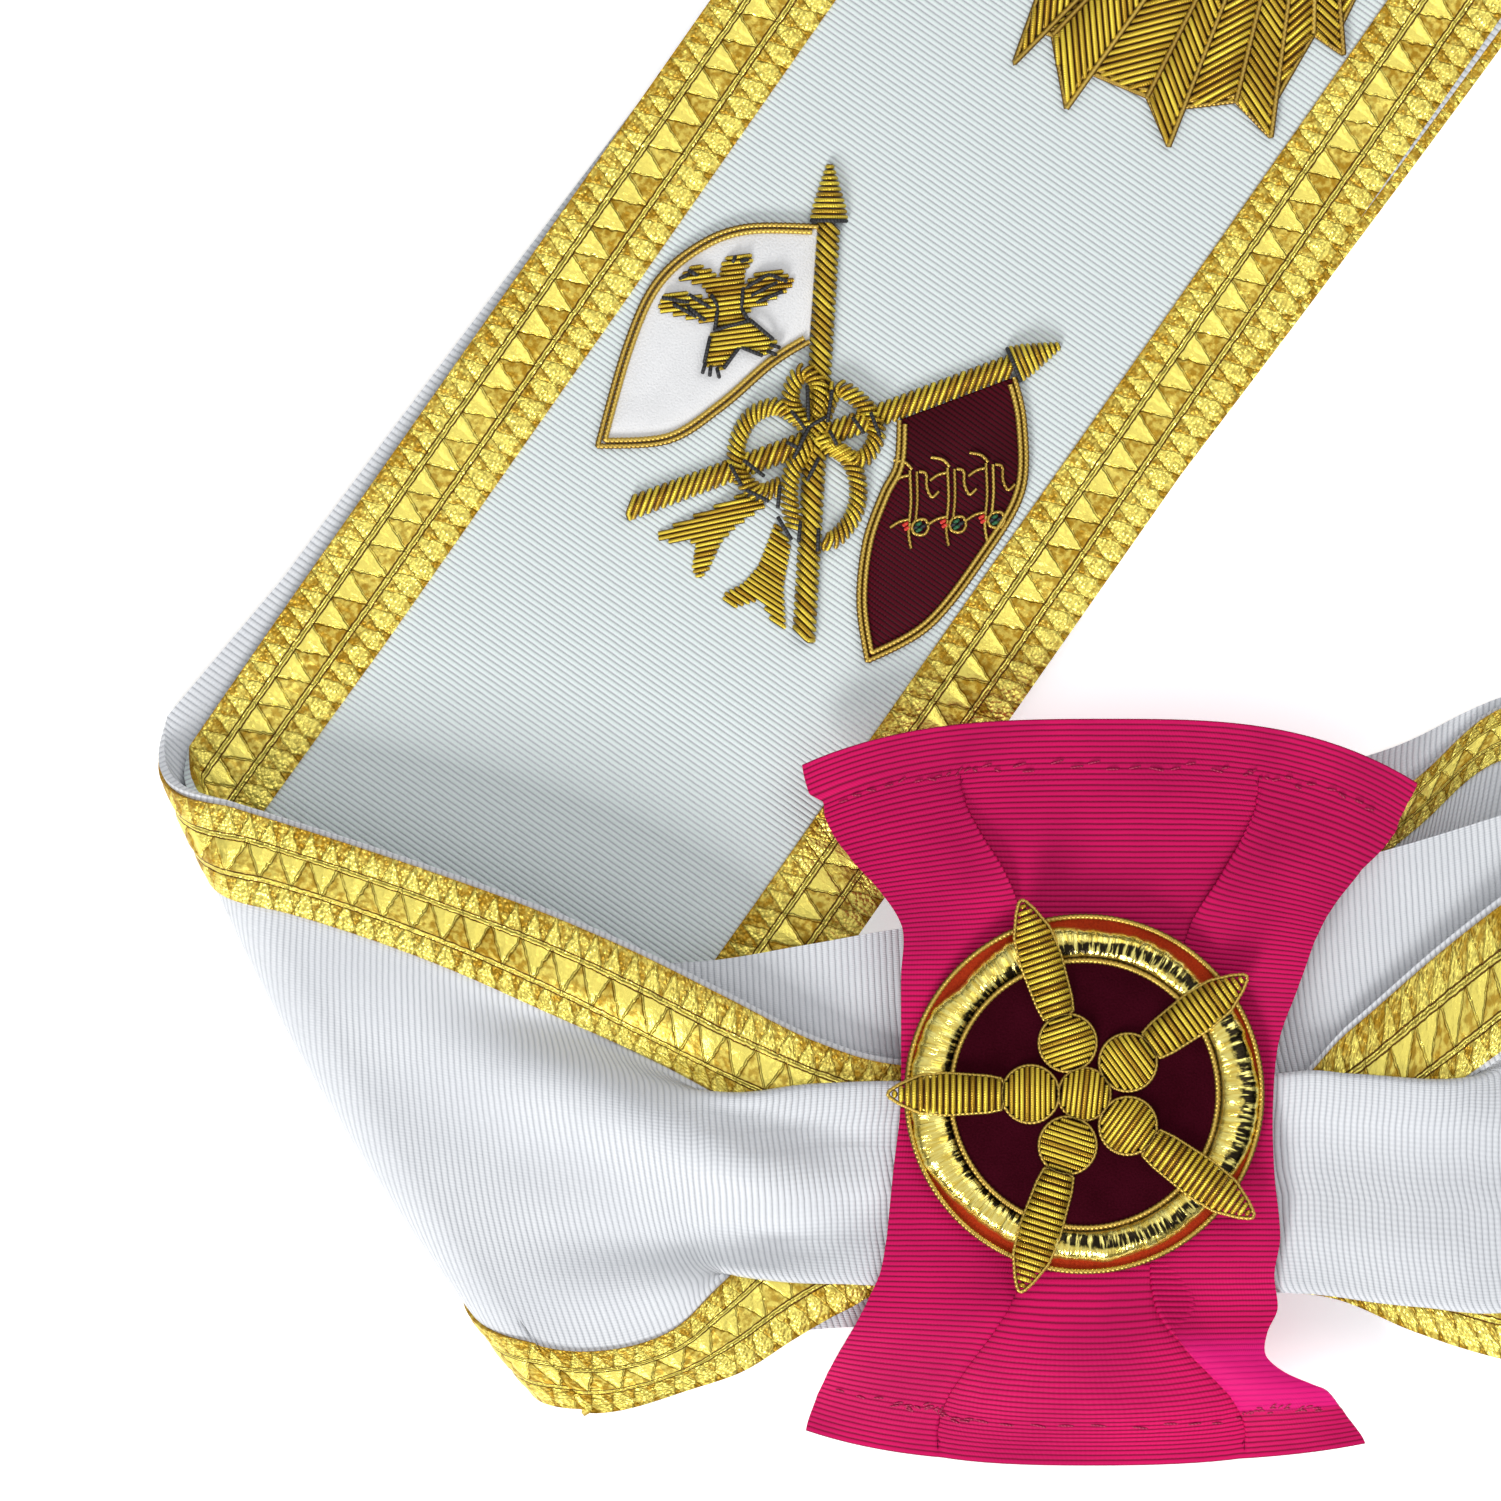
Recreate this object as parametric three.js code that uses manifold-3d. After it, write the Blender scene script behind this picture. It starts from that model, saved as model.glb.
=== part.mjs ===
// A shoulder sash of an order, laid flat: a white ribbon edged with gold lace, tied at the hip in a bow that a short
// crimson ribbon and an embroidered badge cover. Millimetres, +Z up. It is laid out with the badge at zero, and then
// moved so that the origin is on the table in the middle of the whole. +Y is the badge's top, and the strand runs up
// to the right, to the fold that lies on the shoulder.
import * as THREE from "three";
import { mergeVertices } from "three/addons/utils/BufferGeometryUtils.js";
import Module from "manifold-3d";

const wasm = await Module();
wasm.setup();

// Driving dimensions
const ribbon = { width: 101.6, thickness: 1.2 };
const lace = { width: 15, thickness: 0.9, margin: 0.9 };
const clearance = 0.3;
const strand = { angle: 55, length: 840, seamSetback: 42, shoulderRadius: 2.4, driftWidth: 3.2 };
const bow = { reach: 142, foldTilt: -59, foldHeight: 1.5, layerRise: 4.2, topRise: 3, puff: 4.6, innerPuff: 2.2 };
const cockade = { width: 94, length: 116, thickness: 1.2, pleat: 1.9 };
const badge = { radius: 27.6, felt: 1.4, velvetRadius: 20.8, velvet: 1.1, ringWidth: 5.4, ringHeight: 2.1 };
const wheel = { arms: 5, hubRadius: 3.9, bossRadius: 4.1, bossRise: 2.3, armTip: 31.3, armWidth: 6.4, armHeight: 2.4 };
const panel = { felt: 0.8, wire: 1.7, wireHeight: 1.2 };
const staff = { width: 3.2, height: 2, finialWidth: 5.8, finialHeight: 2.8 };
const knotCord = { width: 2.7, height: 1.8 };
const tail = { height: 1.4 };
const eagle = { height: 1.4 };
const burst = { rays: 16, phase: -3, length: 134, width: 59.6, ridge: 2.4, valley: 1.1, notch: 0.86, boss: 22, bossHeight: 2.6 };

// Heights of the ribbons' middles above the table: the outer ribbon lies lowest and highest, the inner one between.
const outerLow = lace.thickness + clearance + ribbon.thickness / 2;
const innerLow = outerLow + ribbon.thickness + clearance;
const innerHigh = innerLow + ribbon.thickness + lace.thickness + clearance * 2 + bow.layerRise - ribbon.thickness;
const outerHigh = innerHigh + ribbon.thickness + clearance + bow.topRise - ribbon.thickness;
const laceTop = ribbon.thickness / 2 + clearance + lace.thickness;
const cockadeLevel = outerHigh + laceTop + clearance * 3 + cockade.thickness / 2;
const badgeFloor = cockadeLevel + cockade.thickness / 2 + clearance;
const fieldFloor = innerLow + ribbon.thickness / 2 + clearance;

const colours = {
  white: new THREE.MeshStandardMaterial({ color: 0xe9edec, roughness: 0.8, metalness: 0 }),
  laceGold: new THREE.MeshStandardMaterial({ color: 0xd2a62c, roughness: 0.4, metalness: 0.75 }),
  crimson: new THREE.MeshStandardMaterial({ color: 0xc0145e, roughness: 0.7, metalness: 0 }),
  maroon: new THREE.MeshStandardMaterial({ color: 0x47081a, roughness: 0.95, metalness: 0 }),
  redFelt: new THREE.MeshStandardMaterial({ color: 0xc03a1e, roughness: 0.95, metalness: 0 }),
  bullion: new THREE.MeshStandardMaterial({ color: 0xb98d22, roughness: 0.45, metalness: 0.8 }),
  foil: new THREE.MeshStandardMaterial({ color: 0xe0c25a, roughness: 0.2, metalness: 0.95 }),
};

const sash = new THREE.Group();
const step = THREE.MathUtils.smoothstep;
const mix = THREE.MathUtils.lerp;

function piece(name, geometry, material, parent = sash) {
  const mesh = new THREE.Mesh(geometry, material);
  mesh.name = name;
  parent.add(mesh);
  return mesh;
}

// A smooth value of one named column of a table, with t from 0 at its first row to 1 at its last.
function column(table, key, t) {
  const place = t * (table.length - 1);
  const first = Math.min(Math.floor(place), table.length - 2);
  const f = place - first;
  const at = (row) => table[THREE.MathUtils.clamp(row, 0, table.length - 1)][key];
  const [a, b, c, d] = [at(first - 1), at(first), at(first + 1), at(first + 2)];
  return b + (f * (c - a)) / 2 + f * f * (a - 2.5 * b + 2 * c - d / 2) + (f * f * f * (-a + 3 * b - 3 * c + d)) / 2;
}

// The closed wall between two offsets of a grid of points, low and high being distances along its normals.
function wall(grid, low, high) {
  const rows = grid.length;
  const columns = grid[0].length;
  const positions = [];
  const along = new THREE.Vector3();
  const across = new THREE.Vector3();
  const clampRow = (i) => THREE.MathUtils.clamp(i, 0, rows - 1);
  const clampColumn = (j) => THREE.MathUtils.clamp(j, 0, columns - 1);
  for (const offset of [low, high]) {
    for (let i = 0; i < rows; i++) {
      for (let j = 0; j < columns; j++) {
        along.subVectors(grid[clampRow(i + 1)][j], grid[clampRow(i - 1)][j]);
        across.subVectors(grid[i][clampColumn(j + 1)], grid[i][clampColumn(j - 1)]);
        const normal = along.cross(across).normalize();
        const p = normal.multiplyScalar(offset).add(grid[i][j]);
        positions.push(p.x, p.y, p.z);
      }
    }
  }
  const at = (top, i, j) => (top * rows + i) * columns + j;
  const index = [];
  const quad = (a, b, c, d) => index.push(a, b, c, a, c, d);
  for (let i = 0; i < rows - 1; i++) {
    for (let j = 0; j < columns - 1; j++) {
      quad(at(1, i, j), at(1, i + 1, j), at(1, i + 1, j + 1), at(1, i, j + 1));
      quad(at(0, i, j), at(0, i, j + 1), at(0, i + 1, j + 1), at(0, i + 1, j));
    }
    quad(at(0, i, 0), at(0, i + 1, 0), at(1, i + 1, 0), at(1, i, 0));
    quad(at(1, i, columns - 1), at(1, i + 1, columns - 1), at(0, i + 1, columns - 1), at(0, i, columns - 1));
  }
  for (let j = 0; j < columns - 1; j++) {
    quad(at(0, 0, j), at(1, 0, j), at(1, 0, j + 1), at(0, 0, j + 1));
    quad(at(1, rows - 1, j), at(0, rows - 1, j), at(0, rows - 1, j + 1), at(1, rows - 1, j + 1));
  }
  const geometry = new THREE.BufferGeometry();
  geometry.setAttribute("position", new THREE.Float32BufferAttribute(positions, 3));
  geometry.setIndex(index);
  geometry.computeVertexNormals();
  return geometry;
}

// The strand's own directions: up its length, and across it from its left edge to its right.
const strandAngle = THREE.MathUtils.degToRad(strand.angle);
const upStrand = new THREE.Vector2(Math.cos(strandAngle), Math.sin(strandAngle));
const acrossStrand = new THREE.Vector2(upStrand.y, -upStrand.x);

// The oblique fold at the bow's left end. Its middle lies on the strand's middle line.
const foldAngle = THREE.MathUtils.degToRad(bow.foldTilt);
const alongFold = new THREE.Vector2(Math.cos(foldAngle), Math.sin(foldAngle));
const outOfFold = new THREE.Vector2(alongFold.y, -alongFold.x);
const foldMiddle = new THREE.Vector2(-0.794 * bow.reach, bow.foldHeight);
const foldHalf = ribbon.width / 2 / alongFold.dot(acrossStrand);

// Shares of the ribbon's width where its columns of points lie. The lace covers the second to the third.
const laceStart = lace.margin / ribbon.width;
const laceEnd = (lace.margin + lace.width) / ribbon.width;
const crestShare = 0.35;
const inside = [0.25, crestShare, 0.46, 0.57, 0.68, 0.76];
const shares = [0, laceStart, laceEnd, ...inside, 1 - laceEnd, 1 - laceStart, 1];

// Sections of the bow's layers from left to right, or back again. Top and foot are the section's two ends: x is a
// share of bow.reach and y of ribbon.width. Lace, crest and hem say how far down the section the upper lace ends, the
// pleat crests and the lower lace begins, and they draw together where the ribbon is gathered.
const flat = { lace: laceEnd, crest: crestShare, hem: 1 - laceEnd };
const upperOuter = [
  { topX: -0.862, topY: 0.415, footX: -0.572, footY: -0.474, ...flat, hem: 0.85 },
  { topX: -0.74, topY: 0.362, footX: -0.5, footY: -0.46, lace: 0.17, crest: 0.34, hem: 0.88 },
  { topX: -0.62, topY: 0.302, footX: -0.43, footY: -0.43, lace: 0.19, crest: 0.34, hem: 0.89 },
  { topX: -0.5, topY: 0.232, footX: -0.37, footY: -0.395, lace: 0.22, crest: 0.33, hem: 0.88 },
  { topX: -0.39, topY: 0.158, footX: -0.315, footY: -0.355, lace: 0.21, crest: 0.3, hem: 0.86 },
  { topX: -0.29, topY: 0.086, footX: -0.26, footY: -0.32, lace: 0.16, crest: 0.25, hem: 0.9 },
  { topX: -0.19, topY: 0.05, footX: -0.19, footY: -0.292, lace: 0.14, crest: 0.22, hem: 0.92 },
  { topX: 0, topY: 0.045, footX: 0, footY: -0.285, lace: 0.14, crest: 0.22, hem: 0.92 },
  { topX: 0.19, topY: 0.047, footX: 0.19, footY: -0.3, lace: 0.14, crest: 0.2, hem: 0.94 },
  { topX: 0.29, topY: 0.105, footX: 0.275, footY: -0.318, lace: 0.2, crest: 0.27, hem: 0.94 },
  { topX: 0.39, topY: 0.21, footX: 0.36, footY: -0.365, lace: 0.22, crest: 0.34, hem: 0.92 },
  { topX: 0.5, topY: 0.315, footX: 0.455, footY: -0.405, lace: 0.2, crest: 0.38, hem: 0.91 },
  { topX: 0.63, topY: 0.42, footX: 0.6, footY: -0.44, lace: 0.18, crest: 0.38, hem: 0.89 },
  { topX: 0.78, topY: 0.5, footX: 0.77, footY: -0.45, lace: 0.17, crest: 0.36, hem: 0.86 },
  { topX: 0.92, topY: 0.54, footX: 0.92, footY: -0.44, ...flat },
];
const upperInner = [
  { topX: -0.8, topY: 0.37, footX: -0.56, footY: -0.43, ...flat },
  { topX: -0.66, topY: 0.27, footX: -0.47, footY: -0.42, ...flat },
  { topX: -0.54, topY: 0.205, footX: -0.4, footY: -0.39, ...flat },
  { topX: -0.42, topY: 0.2, footX: -0.33, footY: -0.365, ...flat },
  { topX: -0.3, topY: 0.226, footX: -0.26, footY: -0.355, ...flat },
  { topX: -0.19, topY: 0.252, footX: -0.19, footY: -0.355, ...flat },
  { topX: 0, topY: 0.28, footX: 0, footY: -0.33, ...flat },
  { topX: 0.19, topY: 0.325, footX: 0.18, footY: -0.29, ...flat },
  { topX: 0.32, topY: 0.366, footX: 0.3, footY: -0.3, ...flat },
  { topX: 0.455, topY: 0.423, footX: 0.43, footY: -0.36, ...flat },
  { topX: 0.6, topY: 0.49, footX: 0.58, footY: -0.4, ...flat },
  { topX: 0.75, topY: 0.525, footX: 0.74, footY: -0.425, ...flat },
  { topX: 0.88, topY: 0.53, footX: 0.88, footY: -0.43, ...flat },
];
const lowerInner = [
  { topX: 0.88, topY: 0.53, footX: 0.88, footY: -0.43, ...flat },
  { topX: 0.75, topY: 0.6, footX: 0.72, footY: -0.43, ...flat, lace: 0.13 },
  { topX: 0.6, topY: 0.63, footX: 0.56, footY: -0.41, ...flat, lace: 0.1 },
  { topX: 0.455, topY: 0.59, footX: 0.42, footY: -0.36, ...flat, lace: 0.09 },
  { topX: 0.36, topY: 0.48, footX: 0.32, footY: -0.3, ...flat, lace: 0.11 },
  { topX: 0.24, topY: 0.36, footX: 0.22, footY: -0.265, ...flat, lace: 0.14 },
  { topX: 0.08, topY: 0.27, footX: 0.08, footY: -0.25, ...flat },
  { topX: -0.13, topY: 0.24, footX: -0.13, footY: -0.24, ...flat },
];
const lowerOuter = [
  { topX: 0.92, topY: 0.54, footX: 0.92, footY: -0.44, ...flat },
  { topX: 0.77, topY: 0.63, footX: 0.74, footY: -0.435, ...flat },
  { topX: 0.61, topY: 0.655, footX: 0.58, footY: -0.42, ...flat },
  { topX: 0.455, topY: 0.602, footX: 0.43, footY: -0.365, ...flat },
  { topX: 0.345, topY: 0.53, footX: 0.32, footY: -0.305, ...flat },
  { topX: 0.22, topY: 0.47, footX: 0.21, footY: -0.275, ...flat },
  { topX: 0.06, topY: 0.35, footX: 0.06, footY: -0.26, ...flat },
  { topX: -0.155, topY: 0.265, footX: -0.155, footY: -0.25, ...flat },
];

// Where the front pleat crests, by its place along the bow, and how strongly it is folded there.
const pleats = [
  { x: -0.85, y: 0.26, depth: 0 },
  { x: -0.66, y: 0.16, depth: 0.25 },
  { x: -0.5, y: 0.07, depth: 0.6 },
  { x: -0.38, y: 0.02, depth: 0.9 },
  { x: -0.2, y: 0.008, depth: 1 },
  { x: 0, y: 0.005, depth: 0.75 },
  { x: 0.2, y: 0.014, depth: 1 },
  { x: 0.4, y: 0.012, depth: 0.9 },
  { x: 0.6, y: -0.01, depth: 0.5 },
  { x: 0.85, y: -0.04, depth: 0 },
];
const pleatSize = { crest: 0.9, groove: 2.1, offset: 5.2, spread: 3.6 };

function pleatAt(x) {
  const last = pleats.length - 1;
  const place = THREE.MathUtils.clamp(x / bow.reach, pleats[0].x, pleats[last].x);
  const next = Math.max(1, pleats.findIndex((row) => row.x >= place));
  const [a, b] = [pleats[next - 1], pleats[next]];
  const f = (place - a.x) / (b.x - a.x);
  return { y: mix(a.y, b.y, f) * ribbon.width, depth: mix(a.depth, b.depth, f) };
}

// How far the upper layers stand above their level at a place: they swell between the gather and the end folds, and
// the front pleat's groove presses both of them down.
function bowRise(x, y, puff, crest) {
  const fromLeft = (foldMiddle.x - x) * outOfFold.x + (foldMiddle.y - y) * outOfFold.y;
  const fromRight = upperInner[upperInner.length - 1].topX * bow.reach - x;
  const ends = step(fromLeft, 2, 36) * step(fromRight, 2, 36);
  const swell = puff * step(Math.abs(x), 24, 66) * ends * Math.exp(-((y / (0.6 * ribbon.width)) ** 2));
  const fold = pleatAt(x);
  const hump = crest * Math.exp(-(((y - fold.y + 1.5) / pleatSize.spread) ** 2));
  const groove = pleatSize.groove * Math.exp(-(((y - fold.y - pleatSize.offset) / pleatSize.spread) ** 2));
  return swell + fold.depth * ends * (hump - groove);
}

const layers = {
  upperOuter: { table: upperOuter, height: (x, y) => outerHigh + bowRise(x, y, bow.puff, pleatSize.crest) },
  upperInner: { table: upperInner, height: (x, y) => innerHigh + bowRise(x, y, bow.innerPuff, 0) },
  lowerInner: { table: lowerInner, height: () => innerLow },
  lowerOuter: { table: lowerOuter, height: () => outerLow },
};

// The point at a share of the ribbon's width on one section of a bow layer.
function onLayer(layer, t, share) {
  const value = (key) => column(layer.table, key, t);
  const knots = [0, laceEnd, crestShare, 1 - laceEnd, 1];
  const drawn = [0, value("lace"), value("crest"), value("hem"), 1];
  const next = Math.max(1, knots.findIndex((knot) => knot >= share - 1e-9));
  const f = (share - knots[next - 1]) / (knots[next] - knots[next - 1]);
  const down = mix(drawn[next - 1], drawn[next], f);
  const x = mix(value("topX"), value("footX"), down) * bow.reach;
  const y = mix(value("topY"), value("footY"), down) * ribbon.width;
  return new THREE.Vector3(x, y, layer.height(x, y));
}

// Rows of points along a bow layer, leaving out its first and last sections when a fold supplies them.
function layerRows(layer, count) {
  const rows = [];
  for (let i = 1; i < count; i++) rows.push(shares.map((share) => onLayer(layer, i / count, share)));
  return rows;
}

// A section of the strand. Up is how far it lies up the strand from the left fold's middle, at the left edge and at
// the right edge, and drift shifts it sideways.
function strandRow(upLeft, upRight, z, drift = 0) {
  return shares.map((share) => {
    const up = mix(upLeft, upRight, share);
    const side = (share - 0.5) * ribbon.width + drift;
    const p = foldMiddle.clone().addScaledVector(upStrand, up).addScaledVector(acrossStrand, side);
    return new THREE.Vector3(p.x, p.y, z);
  });
}

// How far up the strand the oblique fold meets its left edge. It meets the right edge as far below the middle.
const foldClimb = -foldHalf * alongFold.dot(upStrand);
const straightens = 58;
const loopRows = 9;

// Half a turn about the line through two rows' middles, from the lower row's height to the upper row's or back.
function turn(rowAt, out, lowZ, highZ, upward, count) {
  const radius = (highZ - lowZ) / 2;
  const rows = [];
  for (let i = 0; i <= count; i++) {
    const angle = (upward ? i : count - i) * (Math.PI / count);
    rows.push(
      rowAt.map((p) => {
        const reach = radius * Math.sin(angle);
        return new THREE.Vector3(p.x + out.x * reach, p.y + out.y * reach, lowZ + radius * (1 - Math.cos(angle)));
      }),
    );
  }
  return rows;
}

// The back ribbon lies a little askew under the front one, crossing its line above the bow.
function drift(up) {
  return strand.driftWidth * Math.sin(((up - 150) / 210) * Math.PI * 0.8) * Math.exp(-Math.max(0, up - 260) / 160);
}

const leftInset = (outerHigh - outerLow) / 2 + ribbon.thickness / 2;
const innerInset = leftInset + 2;
const foldRow = (inset, z, shift = 0) =>
  strandRow(foldClimb, -foldClimb, z, shift).map((p) => new THREE.Vector3(p.x - outOfFold.x * inset, p.y - outOfFold.y * inset, z));

// The strand's last stretch, whose sections swing from square to the strand to the line of the oblique fold.
function swing(endRow, z, driftAt, count) {
  const start = strandRow(straightens, straightens, z, driftAt);
  const rows = [];
  for (let i = 0; i < count; i++) {
    const f = i / count;
    rows.push(start.map((p, j) => new THREE.Vector3().lerpVectors(p, endRow[j], f)));
  }
  return rows;
}

function frontRibbonRows() {
  const shoulder = strandRow(strand.length, strand.length, outerLow);
  const out = upStrand;
  const shoulderTop = outerLow + strand.shoulderRadius * 2;
  const settle = [24, 60];
  const foldIn = foldRow(innerInset, innerLow);
  const right = shares.map((share) => onLayer(layers.upperInner, 1, share));
  return [
    strandRow(strand.length - strand.seamSetback, strand.length - strand.seamSetback, outerLow),
    ...turn(shoulder, out, outerLow, shoulderTop, true, 6),
    strandRow(strand.length - settle[0], strand.length - settle[0], mix(innerLow, shoulderTop, 0.4)),
    strandRow(strand.length - settle[1], strand.length - settle[1], innerLow),
    strandRow(strand.length / 2, strand.length / 2, innerLow),
    ...swing(foldIn, innerLow, 0, 4),
    ...turn(foldIn, outOfFold, innerLow, innerHigh, true, 6),
    ...layerRows(layers.upperInner, 18).map((row, i) => easeFrom(foldRow(innerInset, innerHigh), row, (i + 1) / 18)),
    ...turn(right, { x: 1, y: 0 }, innerLow, innerHigh, false, 6),
    ...layerRows(layers.lowerInner, loopRows),
    shares.map((share) => onLayer(layers.lowerInner, 1, share)),
  ];
}

// A row of a bow layer, drawn to the fold's own line where it leaves the fold.
function easeFrom(fold, row, t) {
  const near = 1 - step(t, 0, 0.14);
  return row.map((p, j) => new THREE.Vector3(mix(p.x, fold[j].x, near), mix(p.y, fold[j].y, near), p.z));
}

function backRibbonRows() {
  const foldOut = foldRow(leftInset, outerLow, drift(0));
  const right = shares.map((share) => onLayer(layers.upperOuter, 1, share));
  const seam = strand.length - strand.seamSetback - clearance;
  const ups = [seam, seam - 60, 560, 440, 340, 270, 215, 165, 110];
  return [
    ...ups.map((up) => strandRow(up, up, outerLow, drift(up))),
    ...swing(foldOut, outerLow, drift(straightens), 4),
    ...turn(foldOut, outOfFold, outerLow, outerHigh, true, 6),
    ...layerRows(layers.upperOuter, 30).map((row, i) => easeFrom(foldRow(leftInset, outerHigh), row, (i + 1) / 30)),
    ...turn(right, { x: 1, y: 0 }, outerLow, outerHigh, false, 6),
    ...layerRows(layers.lowerOuter, loopRows),
    shares.map((share) => onLayer(layers.lowerOuter, 1, share)),
  ];
}

// The columns of a ribbon's rows that one of its two laces covers.
const laceColumns = (rows, first) => rows.map((row) => row.slice(first, first + 2));
const upperLace = 1;
const lowerLace = shares.length - 3;
const laceNear = ribbon.thickness / 2 + clearance;

function addRibbons() {
  const half = ribbon.thickness / 2;
  const front = frontRibbonRows();
  const back = backRibbonRows();
  piece("front_ribbon", wall(front, -half, half), colours.white);
  piece("back_ribbon", wall(back, -half, half), colours.white);
  const strandEnd = 15;
  const loopStart = front.length - loopRows;
  for (const [side, first] of [["left", upperLace], ["right", lowerLace]]) {
    const onStrand = laceColumns(front.slice(0, strandEnd), first);
    piece(`front_lace_${side}`, wall(onStrand, laceNear, laceTop), colours.laceGold);
    piece(`back_lace_${side}`, wall(laceColumns(back, first), -laceTop, -laceNear), colours.laceGold);
  }
  piece("loop_lace", wall(laceColumns(front.slice(loopStart), upperLace), laceNear, laceTop), colours.laceGold);
}

// Sections of the crimson ribbon from its upper end to its lower one, as shares of its length and width. Bend is how
// far the section's middle lies beyond its ends, and pull draws its edges in.
const cockadeRows = [
  { y: 0.43, left: -0.463, right: 0.543, bend: 0.078, open: 1 },
  { y: 0.36, left: -0.4, right: 0.512, bend: 0.06, open: 0.85 },
  { y: 0.27, left: -0.322, right: 0.435, bend: 0.04, open: 0.35 },
  { y: 0.18, left: -0.298, right: 0.375, bend: 0.02, open: 0 },
  { y: 0.09, left: -0.299, right: 0.318, bend: 0.008, open: 0 },
  { y: 0, left: -0.3, right: 0.31, bend: 0, open: 0 },
  { y: -0.1, left: -0.314, right: 0.312, bend: 0, open: 0 },
  { y: -0.21, left: -0.322, right: 0.326, bend: -0.008, open: 0.1 },
  { y: -0.29, left: -0.352, right: 0.325, bend: -0.012, open: 0.5 },
  { y: -0.34, left: -0.376, right: 0.304, bend: -0.02, open: 0.7 },
  { y: -0.4, left: -0.412, right: 0.372, bend: -0.024, open: 0.88 },
  { y: -0.463, left: -0.449, right: 0.456, bend: -0.03, open: 1 },
];
// Pleats that spread from the badge in each end of the crimson ribbon, by their place across it.
const cockadePleats = [
  { upper: -0.3, lower: -0.27, height: 1, spread: 0.16 },
  { upper: -0.12, lower: -0.1, height: -0.7, spread: 0.16 },
  { upper: 0.24, lower: 0.3, height: 1, spread: 0.16 },
  { upper: 0.08, lower: 0.12, height: -0.5, spread: 0.16 },
];

// How far each end of the crimson ribbon drops below its middle, and how far from the middle it starts to.
const upperFall = { depth: 4, start: 18 };
const lowerFall = { depth: 6.5, start: 33 };

function addCockade() {
  const columns = 14;
  const count = 20;
  const grid = [];
  for (let i = 0; i <= count; i++) {
    const t = i / count;
    const value = (key) => column(cockadeRows, key, t);
    const end = value("y") > 0 ? "upper" : "lower";
    grid.push(
      Array.from({ length: columns + 1 }, (_, j) => {
        const share = j / columns;
        const x = mix(value("left"), value("right"), share) * cockade.width;
        const y = (value("y") + value("bend") * Math.sin(share * Math.PI)) * cockade.length;
        const wave = cockadePleats.reduce(
          (sum, pleat) => sum + pleat.height * Math.exp(-(((share - 0.5 - pleat[end]) / (pleat.spread / 2)) ** 2)),
          0,
        );
        const fall = end === "upper" ? upperFall : lowerFall;
        const drop = fall.depth * step(Math.abs(y), fall.start, cockade.length / 2);
        return new THREE.Vector3(x, y, cockadeLevel - drop + wave * cockade.pleat * value("open"));
      }),
    );
  }
  piece("cockade_ribbon", wall(grid, -cockade.thickness / 2, cockade.thickness / 2), colours.crimson);
}

// A round solid about the vertical through the origin, from a profile of radius and height pairs.
function turned(profile, segments) {
  const geometry = new THREE.LatheGeometry(profile.map(([r, h]) => new THREE.Vector2(r, h)), segments);
  return geometry.rotateX(Math.PI / 2);
}

function domeProfile(radius, floor, top, steps) {
  const points = [[0, floor], [radius, floor]];
  for (let i = 1; i <= steps; i++) {
    const angle = (i / steps) * (Math.PI / 2);
    const r = i === steps ? 0 : radius * Math.cos(angle);
    points.push([r, floor + (top - floor) * (0.35 + 0.65 * Math.sin(angle))]);
  }
  return points;
}

// A long low body with a flat underside along +X, from a table of places along it with half widths and heights.
function bar(sections, floor, sides = 6) {
  const grid = sections.map(({ at, half, height }) =>
    Array.from({ length: sides + 1 }, (_, i) => {
      const angle = (i / sides) * Math.PI;
      return new THREE.Vector3(at, Math.cos(angle) * half, floor + Math.sin(angle) * height);
    }),
  );
  const width = sides + 1;
  const positions = grid.flat().flatMap((p) => [p.x, p.y, p.z]);
  const index = [];
  for (let i = 0; i < grid.length - 1; i++) {
    for (let j = 0; j < width; j++) {
      const k = (j + 1) % width;
      const [a, b, c, d] = [i * width + j, (i + 1) * width + j, (i + 1) * width + k, i * width + k];
      index.push(a, c, b, a, d, c);
    }
  }
  const last = (grid.length - 1) * width;
  for (let j = 1; j < width - 1; j++) index.push(0, j + 1, j, last, last + j, last + j + 1);
  const geometry = new THREE.BufferGeometry();
  geometry.setAttribute("position", new THREE.Float32BufferAttribute(positions, 3));
  geometry.setIndex(index);
  geometry.computeVertexNormals();
  return geometry;
}

function addBadge() {
  const onBadge = new THREE.Group();
  onBadge.position.z = badgeFloor;
  sash.add(onBadge);
  const felt = [[0, 0], [badge.radius, 0], [badge.radius, badge.felt], [0, badge.felt]];
  piece("badge_felt", turned(felt, 40), colours.redFelt, onBadge);
  const velvetFloor = badge.felt + clearance;
  const velvetTop = velvetFloor + badge.velvet;
  const velvet = [[0, velvetFloor], [badge.velvetRadius, velvetFloor], [badge.velvetRadius, velvetTop], [0, velvetTop]];
  piece("badge_velvet", turned(velvet, 40), colours.maroon, onBadge);
  const ringMiddle = badge.velvetRadius + clearance * 2 + badge.ringWidth / 2;
  const ring = [];
  const around = 6;
  for (let i = 0; i <= around; i++) {
    const angle = (i / around) * Math.PI;
    const radius = ringMiddle + (badge.ringWidth / 2) * Math.cos(angle);
    ring.push([radius, velvetFloor + badge.ringHeight * Math.sin(angle)]);
  }
  ring.push(ring[0]);
  piece("badge_ring", turned(ring, 40), colours.foil, onBadge);
  addWheel(onBadge, velvetTop + clearance, velvetFloor + badge.ringHeight + clearance);
}

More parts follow.
